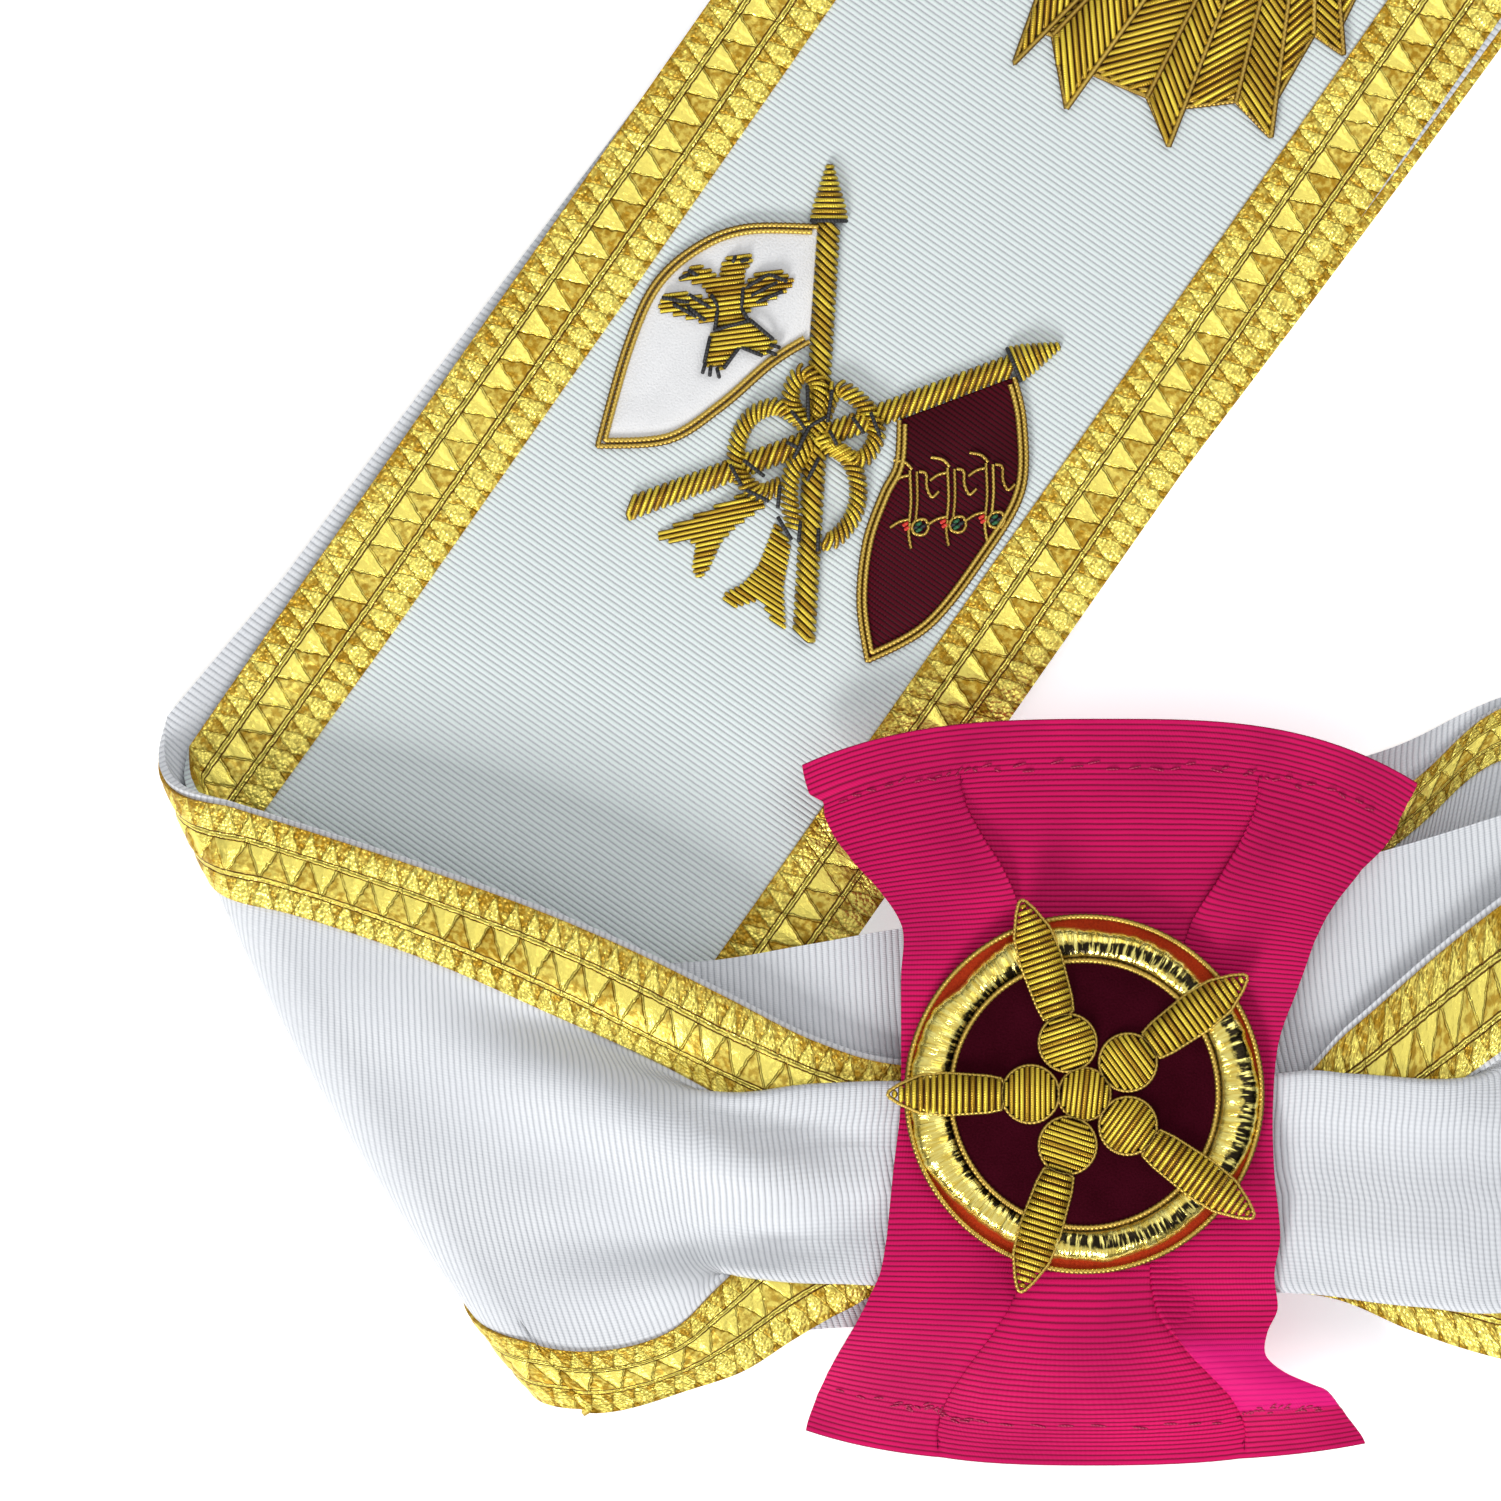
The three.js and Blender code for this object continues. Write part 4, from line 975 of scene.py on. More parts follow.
@dataclass(frozen=True)
class RibbedCloth(Finish):
    """Ribbed ribbon: ribs across it with painted shade in their valleys, a soft sheen and slightly uneven
    dye.
    """

    name: str
    # The ridges' colour, the painted shade in the rib valleys, and the uneven dye's second colour.
    ridge: Colour
    valley: Colour
    shade: Colour
    pitch: float = 0.8
    depth: float = 0.00012
    roughness: float = 0.55
    sheen: float = 0.2
    gloss: float = 0.3
    waver: float = 0.15
    # Painted light: the strand's stretch, up to the given distance along the run, takes its own lighter,
    # greener tone, which stands in for how differently the strand and the bow are lit. Its ribs there have
    # their own pitch.
    strand_painted_light: Colour | None = None
    strand_until: float = 0.0
    strand_pitch: float = 0.83
    # A painted sheen band: its start and end along the ribbon, the distance across beyond which it lies, and
    # its colour.
    painted_sheen: tuple[float, float, float] | None = None
    painted_sheen_colour: Colour | None = None

    def dress(self, look: Look) -> None:
        """Dress with the ribs and the painted shade in their valleys, the uneven dye, the strand's painted
        light and the painted sheen band.
        """
        place = look.vector("ADD", look.place, (-self.strand_until, 0.0, 0.0))
        along, across, _ = look.parts(place)
        pitch = look.ramp(along, 0, 0.01, self.strand_pitch, self.pitch) if self.strand_painted_light else self.pitch
        ribs = look.effects.ribs.place(look, Place=place, Pitch=pitch, Waver=self.waver)
        dye = look.mottle(0.05, place)
        cloth = look.mix(look.ramp(dye, 0.35, 0.7), self.ridge, self.shade)
        # Painted light: the strand's own tone, fading out over the 40 mm before that distance.
        if self.strand_painted_light:
            cloth = look.mix(look.ramp(along, -40, 0, 1.0, 0.0), cloth, self.strand_painted_light)
        # Painted shade: the rib valleys take the darker valley colour.
        colour = look.mix(ribs["Valley"], cloth, self.valley)
        # Painted sheen: a lighter band where the free end turns up toward the light.
        if self.painted_sheen:
            start, end, beyond = self.painted_sheen
            within = look.ramp(along, start, start + 5) * look.ramp(along, end, end + 1, 1.0, 0.0)
            turned = within * look.ramp(across, beyond, beyond + 1.5, 0.0, 0.65)
            colour = look.mix(turned, colour, self.painted_sheen_colour)
        rough = look.ramp(dye, 0.2, 0.8, self.roughness - 0.06, self.roughness + 0.08)
        look.finish(ribs["Height"], self.depth, 1.0, Base_Color=colour, Roughness=rough,
                    Sheen_Weight=self.sheen, Specular_IOR_Level=self.gloss)


@dataclass(frozen=True)
class FoilLace(Finish):
    """Woven gold lace with a pressed pattern and painted light on its facets."""

    name: str
    bright: Colour
    deep: Colour
    seam: Colour
    depth: float = 0.0005
    metallic: float = 0.75

    def dress(self, look: Look) -> None:
        """Dress with the pressed pattern and its painted facet light over a fine weave."""
        emboss = look.effects.emboss.place(look, Place=look.place)
        # The tone carries the facets' painted light as well as random patches.
        foil = look.mix(look.ramp(emboss["Tone"], 0.0, 0.9), self.deep, self.bright)
        rough = look.ramp(emboss["Tone"], 0.1, 1.0, 0.45, 0.28)
        look.finish(emboss["Height"] + look.noise(look.place, 6.0) * 0.12, self.depth, 1.0,
                    Base_Color=look.mix(emboss["Seam"], foil, self.seam), Metallic=self.metallic,
                    Roughness=rough)


@dataclass(frozen=True)
class CoiledWire(Finish):
    """Threads of fine coiled metal wire laid side by side."""

    name: str
    bright: Colour
    deep: Colour
    # The third colour is the painted shade between threads.
    gap: Colour
    metallic: float = 0.8
    roughness: float = 0.36
    turn: float = 0.35
    slant: float = 0.25
    depth: float = 0.00006

    def dress(self, look: Look) -> None:
        """Dress with the wire's turns and the painted shade at the threads' sides and in the gaps between
        them.
        """
        coil = look.effects.coil.place(look, Place=look.place, Turn=self.turn, Slant=self.slant)
        wire = look.mix(coil["Tone"], self.deep, self.bright)
        rough = look.ramp(coil["Tone"], 0.0, 1.0, self.roughness, self.roughness + 0.1)
        look.finish(coil["Height"], self.depth, 0.6, Base_Color=look.mix(coil["Gap"], wire, self.gap),
                    Metallic=self.metallic, Roughness=rough)


@dataclass(frozen=True)
class Nap(Finish):
    """Velvet or felt: a fine uneven nap over one colour."""

    name: str
    colour: Colour
    shade: Colour
    scale: float = 3.0
    depth: float = 0.0002
    sheen: float = 0.5
    gloss: float = 0.05

    def dress(self, look: Look) -> None:
        """Dress with the fine nap and slow patches."""
        nap = look.mottle(self.scale)
        both = nap * 0.5 + look.mottle(0.12) * 0.5
        colour = look.mix(look.ramp(both, 0.35, 0.65), self.colour, self.shade)
        look.finish(nap, self.depth, 0.8, Base_Color=colour, Roughness=look.ramp(both, 0.3, 0.7, 0.85, 1.0),
                    Sheen_Weight=self.sheen, Specular_IOR_Level=self.gloss)


@dataclass(frozen=True)
class BrightFoil(Finish):
    """Flat polished wire laid over padding and crimped across, with a dark reflection painted on it in a
    winding band.
    """

    name: str
    bright: Colour
    deep: Colour
    # The colour of the painted dark reflection.
    dark: Colour
    round: float
    depth: float = 0.0005
    metallic: float = 0.9

    def dress(self, look: Look) -> None:
        """Dress with the crimps and a painted dark reflection in a band that winds from the ring's inner
        slope on the left to its outer slope on the right.
        """
        around, across, _ = look.parts(look.place)
        crimp = look.mottle(1.3, look.vector("MULTIPLY", look.place, (1.0, 0.15, 1.0)))
        nick = look.mottle(0.8)
        # Painted reflection: the band where the dark reflection is painted, nearest the inner edge on the
        # left and the outer edge on the right, broken up by the crimps.
        middle = look.math("COSINE", around / self.round) * 2.4 + 3.9
        band = look.ramp(abs(across - middle) + nick * 2.2, 2.0, 2.7, 1.0, 0.0)
        dark = band * look.ramp(crimp, 0.4, 0.5)
        gold = look.mix(look.ramp(crimp, 0.35, 0.65), self.bright, self.deep)
        look.finish(crimp + nick * 0.3, self.depth, 0.7, Base_Color=look.mix(dark, gold, self.dark),
                    Metallic=self.metallic, Roughness=look.ramp(nick, 0.3, 0.7, 0.1, 0.22))


@dataclass(frozen=True)
class Thread(Finish):
    """A plain twisted sewing thread."""

    name: str
    colour: Colour
    # The second colour is the painted highlight on the twist's ridges.
    light: Colour
    roughness: float = 0.6
    depth: float = 0.00004
    turn: float = 0.5

    def dress(self, look: Look) -> None:
        """Dress with the thread's twist and a painted highlight on its ridges."""
        twist = look.effects.coil.place(look, Place=look.place, Turn=self.turn, Slant=self.turn)["Height"]
        # Painted highlight: the twist's ridges take the lighter colour.
        colour = look.mix(look.ramp(twist, -0.6, 0.8), self.colour, self.light)
        rough = look.ramp(twist, -1.0, 1.0, self.roughness, self.roughness - 0.1)
        look.finish(twist, self.depth, 0.8, Base_Color=colour, Roughness=rough)


class Finishes:
    """Every finish of the sash."""

    def __init__(self) -> None:
        """Build the effects and the materials."""
        effects = Effects()
        # A ribbed cloth's colours: its ridges, the painted shade in its rib valleys, and the uneven dye's
        # second colour.
        white = RibbedCloth("white_ribbon", (0.71, 0.725, 0.745, 1), (0.57, 0.59, 0.62, 1),
                            (0.66, 0.675, 0.7, 1), pitch=1.0, depth=0.00016)
        # The front ribbon's copy, with the strand's painted light.
        strand_painted_light = replace(white, name="ribbon_painted_strand_light", strand_painted_light=(0.69, 0.77, 0.745, 1), strand_until=950.0)
        self.white = white.material(effects)
        self.strand_painted_white = strand_painted_light.material(effects)
        self.crimson = RibbedCloth(
            "crimson_ribbon", (0.64, 0.005, 0.11, 1), (0.24, 0.002, 0.04, 1), (0.5, 0.004, 0.09, 1),
            pitch=0.86, depth=0.0001, sheen=0.0, gloss=0.1, painted_sheen=(94.0, 107.0, 77.5),
            painted_sheen_colour=(0.72, 0.008, 0.2, 1)).material(effects)
        self.maroon_silk = RibbedCloth(
            "maroon_silk", (0.075, 0.001, 0.008, 1), (0.02, 0.0003, 0.002, 1), (0.055, 0.001, 0.006, 1),
            pitch=0.75, sheen=0.0, gloss=0.08).material(effects)
        self.lace = FoilLace(
            "gold_lace", (1.0, 0.84, 0.17, 1), (0.42, 0.23, 0.01, 1),
            (0.16, 0.065, 0.01, 1)).material(effects)
        self.bullion = CoiledWire(
            "bullion", (0.95, 0.75, 0.085, 1), (0.5, 0.3, 0.025, 1), (0.09, 0.03, 0.006, 1)).material(effects)
        self.wire = CoiledWire(
            "couched_wire", (0.66, 0.46, 0.09, 1), (0.44, 0.28, 0.05, 1), (0.16, 0.08, 0.015, 1),
            turn=0.7, slant=0.5).material(effects)
        self.velvet = Nap(
            "maroon_velvet", (0.04, 0.0008, 0.006, 1), (0.024, 0.0004, 0.003, 1), sheen=0.0).material(effects)
        self.red_felt = Nap(
            "red_felt", (0.42, 0.035, 0.006, 1), (0.28, 0.02, 0.004, 1), sheen=0.1).material(effects)
        self.white_felt = Nap(
            "white_felt", (0.8, 0.8, 0.8, 1), (0.72, 0.72, 0.72, 1), sheen=0.1).material(effects)
        self.foil = BrightFoil(
            "bright_foil", (1.0, 0.87, 0.26, 1), (0.8, 0.58, 0.09, 1), (0.02, 0.014, 0.006, 1),
            27.6).material(effects)
        self.black = Thread(
            "black_thread", (0.006, 0.006, 0.007, 1), (0.03, 0.03, 0.035, 1)).material(effects)
        self.red = Thread("red_thread", (0.6, 0.02, 0.01, 1), (0.75, 0.05, 0.03, 1)).material(effects)
        self.green = Thread("green_thread", (0.01, 0.09, 0.03, 1), (0.03, 0.16, 0.06, 1)).material(effects)
        self.hem = Thread("hem_thread", (0.3, 0.002, 0.05, 1), (0.45, 0.006, 0.08, 1)).material(effects)
        self.wired = [self.bullion, self.wire]
        self.stitched = [self.bullion, self.black]


# Ribbons and lace


class Ribbons:
    """The two white ribbons and their laces."""

    def __init__(self, finishes: Finishes) -> None:
        """Lay out both runs."""
        self.finishes = finishes
        self.layout = Layout()
        self.front = self.front_run()
        self.back = self.back_run()

    def front_run(self) -> Run:
        """Return the front ribbon's run, from the seam over the shoulder to its end behind the gather."""
        lay = self.layout
        top = OUTER_LOW + 2 * STRAND.shoulder_radius
        inset = (INNER_HIGH - INNER_LOW) / 2 + BOW.inner_gap
        fold = lay.fold_row(inset, INNER_LOW, 0.0, -2.0)
        top_fold = lay.fold_row(inset, INNER_HIGH, 0.0, 9.5 - 6.0 * lay.shares)
        shoulder = lay.strand_row(STRAND.length, STRAND.length, OUTER_LOW)
        seam = np.linspace(STRAND.length - STRAND.seam_setback, STRAND.length, SEAM_STEPS)[:-1]
        ups = np.linspace(STRAND.length, STRAND.straightens, STRAND_STEPS)[1:-1]
        levels = INNER_LOW + (top - INNER_LOW) * smooth(ups, STRAND.length - 60, STRAND.length + 6)
        return self.joined({
            "seam": np.array([lay.strand_row(up, up, OUTER_LOW) for up in seam]),
            "shoulder": lay.turn(shoulder, shoulder, lay.up, OUTER_LOW, top, True, SHOULDER_STEPS),
            "strand": np.array([lay.strand_row(up, up, level) for up, level in zip(ups, levels)]),
            "swing": lay.swing(fold, INNER_LOW, 0.0, SWING_STEPS),
            **self.bow(fold, top_fold, UPPER_INNER, LOWER_INNER, INNER_LOW, INNER_HIGH, 91, 12,
                       lambda x, y: INNER_HIGH + lay.bow_rise(x, y, BOW.inner_puff, False)),
        })

    def back_run(self) -> Run:
        """Return the back ribbon's run, from the seam down the strand to its end behind the gather."""
        lay = self.layout
        inset = (OUTER_HIGH - OUTER_LOW) / 2 + RIBBON.thickness / 2
        fold = lay.fold_row(inset, OUTER_LOW, lay.drift(0), -5.0)
        drawn = lay.drawn(np.array([UPPER_OUTER[0].row()]))[0]
        top_fold = lay.fold_row(inset, OUTER_HIGH, 0.0, 8.0 - 1.5 * lay.shares, drawn)
        seam = STRAND.length - STRAND.seam_setback - RIBBON.clearance
        ups = np.linspace(seam, STRAND.straightens, STRAND_STEPS)[:-1]
        return self.joined({
            "strand": np.array([lay.strand_row(up, up, OUTER_LOW, lay.drift(up)) for up in ups]),
            "swing": lay.swing(fold, OUTER_LOW, lay.drift(STRAND.straightens), SWING_STEPS),
            **self.bow(fold, top_fold, UPPER_OUTER, LOWER_OUTER, OUTER_LOW, OUTER_HIGH, 161, 18,
                       lambda x, y: OUTER_HIGH + lay.bow_rise(x, y, BOW.puff, True)),
        })

    def bow(self, fold: Array, top_fold: Array, upper: Sequence[Section], lower: Sequence[Section],
            low: float, high: float, rows: int, steps: int, height: Callable) -> dict[str, Array]:
        """Return a ribbon's stretches in the bow, from the left fold to its end behind the gather.

        Args:
            fold: the left fold's line where the strand ends.
            top_fold: the same line where the bow begins.
            upper: the sections of its layer in front.
            lower: the sections of its layer behind.
            low: the level of the layer behind.
            high: the level of the layer in front.
            rows: how many rows the front has.
            steps: how many steps each fold has.
            height: gives the front's height at places x and y.

        Returns:
            The stretches by their names.
        """
        lay = self.layout
        t = np.linspace(0, 1, rows)[1:-1]
        right = lay.layer(upper, np.array([1.0]), lambda x, y: np.zeros_like(x))[0]
        return {
            "left_fold": lay.turn(fold, top_fold, lay.out, low, high, True, steps),
            "front": lay.eased(lay.layer(upper, t, height), top_fold, t),
            "right_fold": lay.turn(right, right, np.array([1.0, 0.0]), low, high, False, steps),
            "loop": lay.layer(lower, np.linspace(0, 1, LOOP_STEPS)[1:], lambda x, y: np.full_like(x, low)),
        }

    def joined(self, pieces: dict[str, Array]) -> Run:
        """Join stretches of rows into one run and mark where each begins."""
        marks = {}
        count = 0
        for name, rows in pieces.items():
            marks[name] = count
            count += len(rows)
        return Run(np.concatenate(list(pieces.values())), marks, self.layout.shares)

    def build(self) -> None:
        """Build both ribbons and every lace."""
        half = RIBBON.thickness / 2
        for name, run in (("front_ribbon", self.front), ("back_ribbon", self.back)):
            form = Form(name + "_cloth")
            form.add_slab(run.grid, run.normals, -half, half, run.places())
            # The front ribbon takes the copy with the strand's painted light.
            cloth = self.finishes.strand_painted_white if run is self.front else self.finishes.white
            form.make([cloth], [name])
        strand_end = self.front.along[self.front.marks["left_fold"]] + 5
        loop_start = self.front.along[self.front.marks["loop"]]
        front_end, back_end = self.front.length(), self.back.length()
        front = [self.lace("front_lace_left", self.front, LacedFace.UPPER, Side.LEFT, 0, strand_end,
                           (0.0, LACE_END)),
                 self.lace("front_lace_right", self.front, LacedFace.UPPER, Side.RIGHT, 0, strand_end,
                           (0.0, LACE_END)),
                 self.lace("loop_lace", self.front, LacedFace.UPPER, Side.LEFT, loop_start, front_end)]
        back = [self.lace("back_lace_left", self.back, LacedFace.LOWER, Side.LEFT, 0, back_end),
                self.lace("back_lace_right", self.back, LacedFace.LOWER, Side.RIGHT, 0, back_end,
                          (0.0, LACE_END)),
                self.lace("back_lace_turned_edge", self.back, LacedFace.UPPER, Side.RIGHT, 0,
                          self.back.along[self.back.marks["swing"]], (0.0, 0.017), 0.09)]

    def lace(self, name: str, run: Run, face: LacedFace, side: Side, start: float, end: float,
             band: tuple[float, float] = (LACE_START, LACE_END), height: float = 0.8) -> bpy.types.Object:
        """Build one length of lace, pressed with its pattern.

        Args:
            name: the CAD node that it stands for.
            run: the ribbon that it is sewn to.
            face: the ribbon's face that carries it.
            side: the ribbon's edge that it follows.
            start: where along the run it begins.
            end: where it ends.
            band: its two edges, as shares of the ribbon.
            height: its thickness.

        Returns:
            The lace's object.
        """
        across = np.linspace(0.0, 1.0, 19)
        shares = band[0] + across * (band[1] - band[0])
        span = (band[1] - band[0]) / (LACE_END - LACE_START)
        if side is Side.RIGHT:
            shares = 1 - shares[::-1]
        middle = run.along[run.marks["left_fold"]]
        first, last = middle - IN_VIEW, middle + IN_VIEW
        along = np.concatenate([np.arange(start, min(end, first), COARSE_STEP),
                                np.arange(max(start, first), min(end, last), FINE_STEP),
                                np.arange(max(start, last), end, COARSE_STEP)])
        grid, normals, travel = run.resample(along, shares)
        normals = normals * face.value
        relief = pressed_relief(travel, across[None] * span)
        places = np.dstack([travel, np.broadcast_to(across * span * RIBBON.lace_width, travel.shape)])
        if face is LacedFace.LOWER:
            grid, normals, relief, places = (a[:, ::-1] for a in (grid, normals, relief, places))
        form = Form(name + "_braid")
        near = RIBBON.thickness / 2
        high = near + height * (0.65 + 0.35 * relief)
        form.add_slab(grid, normals, near - 0.05, high, places)
        return form.make([self.finishes.lace], [name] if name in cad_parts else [])


def pressed_relief(along: Array, across: Array) -> Array:
    """Return the lace's pressed pattern as a height from 0 to 1.

    Args:
        along: millimetres along the lace.
        across: shares of its width.

    Returns:
        The height at each place.
    """
    def triangles(w: Array, u: Array) -> Array:
        """Return alternate flat-topped triangles across a band at places w, repeating with u."""
        zig = np.abs(2 * (u - np.floor(u + 0.5)))
        gap = (zig - w) * 0.8
        return np.clip(6 * np.maximum(np.minimum(w, gap), np.minimum(1 - w, -gap)), 0, 1)

    middle = triangles((across - SEAM_LOW) / (SEAM_HIGH - SEAM_LOW), along / TRIANGLE)
    beside = np.abs(((across - SEAM_LOW) * OUTER_ROWS + 1) % 2 - 1)
    small = triangles(beside, along / TRIANGLE * 1.5)
    inner = (across > SEAM_LOW) & (across < SEAM_HIGH)
    seam = np.minimum(np.abs(across - SEAM_LOW), np.abs(across - SEAM_HIGH))
    edge = np.minimum(across, 1 - across)
    press = np.where(inner, middle, small * 0.6)
    return press * smooth(seam, 0.02, 0.06) * smooth(edge, 0, 0.05)


# The crimson ribbon


@dataclass
class Cockade:
    """The short crimson ribbon across the gather: a box pleat under the badge and two free hemmed ends."""

    finishes: Finishes
    width: float = 101.6
    length: float = 116.0
    thickness: float = 0.8
    rib_pitch: float = 0.86
    rib_height: float = 0.16
    hem: float = 7.5
    pleat_rise: float = 1.9
    sag: float = 3.0
    crown: float = 0.7
    stitch: float = 0.14

    # A row: height, left and right edge, left and right fold, overlap, and how far each end is pushed along
    ROWS = np.array([
        [57.8, -43.4, 51.4, -20.6, 28.6, -5.6, -7.1, -9.9],
        [53.0, -42.3, 49.4, -20.6, 28.2, -3.4, -6.8, -9.4],
        [51.6, -40.2, 48.7, -20.3, 28.0, -2.6, -6.6, -9.1],
        [48.0, -39.6, 47.3, -19.2, 27.2, 0.0, -6.0, -8.6],
        [42.0, -36.5, 42.8, -16.5, 25.0, 4.0, -5.0, -7.5],
        [34.0, -31.3, 38.2, -11.9, 20.8, 7.0, -3.0, -5.5],
        [27.0, -28.0, 35.5, -9.5, 16.5, 8.0, -1.5, -3.5],
        [18.0, -28.2, 33.0, -9.0, 14.0, 8.0, 0.0, -1.5],
        [8.0, -28.2, 30.0, -9.0, 13.0, 8.0, 0.0, 0.0],
        [-2.0, -28.3, 29.1, -9.0, 11.0, 8.0, 0.0, 0.0],
        [-12.0, -29.4, 29.3, -9.0, 10.0, 8.0, 0.0, 0.0],
        [-22.0, -30.4, 30.2, -9.0, 10.0, 8.0, 0.0, 0.0],
        [-28.0, -31.4, 29.3, -9.4, 10.2, 7.0, 0.5, 0.3],
        [-33.5, -33.6, 29.8, -11.8, 11.4, 6.0, 1.0, 0.3],
        [-37.2, -35.3, 28.2, -14.2, 13.8, 5.0, 1.5, 0.3],
        [-40.8, -37.0, 28.0, -16.8, 17.2, 4.4, 2.2, 0.4],
        [-43.6, -38.3, 31.2, -18.8, 20.0, 4.0, 2.8, 0.5],
        [-46.4, -39.5, 37.2, -20.6, 22.6, 3.0, 3.4, 0.8],
        [-50.5, -41.0, 40.0, -22.4, 24.8, 1.0, 4.2, 1.6],
        [-56.8, -42.8, 43.4, -23.6, 25.8, -2.0, 4.8, 2.8],
    ])
    # The panels' edges as shares of the width, then the free end's bends: place, spread and height
    PANELS = np.array([0.0, 0.24, 0.3, 0.7, 0.76, 1.0])
    TUMBLES = ((-33.0, 5.0, -1.7), (-45.0, 5.5, 1.5))

    def surface(self, t: Array, share: Array) -> Array:
        """Return the points of the crimson ribbon's middle surface.

        Args:
            t: places from the upper end to the lower one.
            share: places from the left edge to the right one.

        Returns:
            The grid of points.
        """
        levels = self.ROWS[:, 0]
        level = levels[0] + t * (levels[-1] - levels[0])
        row = np.interp(-level, -levels, np.linspace(0, 1, len(levels)))
        left, right, fold_left, fold_right, over, drop_left, drop_right = follow(self.ROWS, row)[:, 1:].T
        bends = np.stack([left, fold_left, fold_left - over, fold_right + over, fold_right, right], axis=1)
        x = soft_line(share, self.PANELS, bends)
        edge = np.where(share < 0.5, drop_left[:, None], drop_right[:, None])
        outer = np.clip((np.abs(share[None] - 0.5) - 0.2) / 0.3, 0, 1) ** 1.3
        half = ((right - left) / 2)[:, None]
        spread = np.clip(np.abs(x - (right - half[:, 0])[:, None]) / half, 0, 1) ** 3
        outer = outer + (spread - outer) * smooth(np.abs(level), 36, 53)[:, None]
        middle = np.sin(np.clip((share - 0.3) / 0.4, 0, 1) * math.pi)[None]
        sag = -self.sag * (smooth(-level, 24, 36) * (1 - 0.8 * smooth(-level, 44, 56)))[:, None] * middle
        y = level[:, None] + edge * outer + sag
        reach = np.hypot(x, y)
        fall = np.where(level > 0, 4.0 * smooth(level, 18, 58), 6.5 * smooth(-level, 33, 58))[:, None]
        opened = (0.12 + 0.88 * smooth(reach, 27, 38)) * self.pressed(level)[:, None]
        fold = np.array([[0.75, 1.0, 0.5, 0.5, 1.0, 0.75]])
        lift = soft_line(share, self.PANELS, fold) * 2 - 1
        inward = np.abs(share[None] - 0.5)
        crown = self.crown * middle * smooth(np.abs(level), 28, 50)[:, None]
        lift = np.where(inward < 0.2, crown, self.pleat_rise * lift)
        tumble = sum(h * np.exp(-(((y - place) / spread) ** 2)) for place, spread, h in self.TUMBLES)
        curl = 0.9 * smooth(inward, 0.44, 0.5) * smooth(np.abs(level), 34, 56)[:, None]
        z = COCKADE_LEVEL - fall + lift * opened + tumble * smooth(share, 0.74, 0.9)[None] - curl
        return np.dstack([x, y, z])

    def pressed(self, level: Array) -> Array:
        """Return how much of the pleats' rise is left towards the two hems."""
        return (1 - smooth(level, 36, 53)) * (1 - 0.9 * smooth(-level, 44, 56))

    def build(self) -> None:
        """Build the ribbon with its ribs, its hems and their stitches."""
        per_rib = 4
        count = int(self.length / self.rib_pitch) * per_rib
        t = np.linspace(0, 1, count + 1)
        share = np.unique(np.concatenate([np.linspace(0, 1, 41), np.linspace(0.2, 0.32, 12),
                                          np.linspace(0.68, 0.8, 12)]))
        grid = self.surface(t, share)
        normals = -grid_normals(grid)
        ribs = np.abs(np.sin(np.arange(count + 1) * math.pi / per_rib)) ** 0.8
        half = self.thickness / 2
        places = np.dstack(np.meshgrid(np.arange(count + 1) * self.rib_pitch / per_rib, share * self.width,
                                       indexing="ij"))
        form = Form("cockade_ribbon_cloth")
        high = half - self.rib_height + self.rib_height * ribs[:, None]
        form.add_slab(grid[:, ::-1], normals[:, ::-1], -half, high, places[:, ::-1])
        made = form.make([self.finishes.crimson], ["cockade_ribbon"])
        stitches = self.stitches()

    def stitches(self) -> bpy.types.Object:
        """Build the hems' uneven stitches, thickest where the thread was fastened off."""
        form = Form("cockade_hem_stitches")
        rng = np.random.default_rng(11)
        lines = []
        low = self.length - self.hem
        for place, first, last, count in ((self.hem, 0.03, 0.97, 40), (low, 0.03, 0.97, 34),
                                          (low, 0.12, 0.4, 26), (low, 0.8, 0.97, 12)):
            for start in np.linspace(first, last - 0.02, count):
                shift = rng.uniform(-0.6, 0.6, 3)
                share = start + np.linspace(0, 0.013, 5) + shift[0] * 0.008
                path = (place + shift[1] + np.linspace(0, shift[2], 5)) / self.length
                points = np.array([self.surface(np.array([a]), np.array([b]))[0, 0]
                                   for a, b in zip(path, share)])
                points[:, 2] += self.thickness / 2 + 0.22 * np.sin(np.linspace(0, math.pi, 5))
                lines.append(points)
        form.add_tubes(np.array(lines), self.stitch, FULL_TURN)
        return form.make([self.finishes.hem], [])


# Embroidery


def circle_points(radius: float, count: int) -> Array:
    """Return points round a circle about zero."""
    around = np.linspace(0, 2 * math.pi, count, endpoint=False)
    return radius * np.column_stack([np.cos(around), np.sin(around)])


def dome(w: Array, power: float = 2.0) -> Array:
    """Return a rounded profile that is 1 in the middle and falls to 0 at -1 and 1."""
    return np.sqrt(np.clip(1 - np.abs(w) ** power * 0.94, 0, 1))


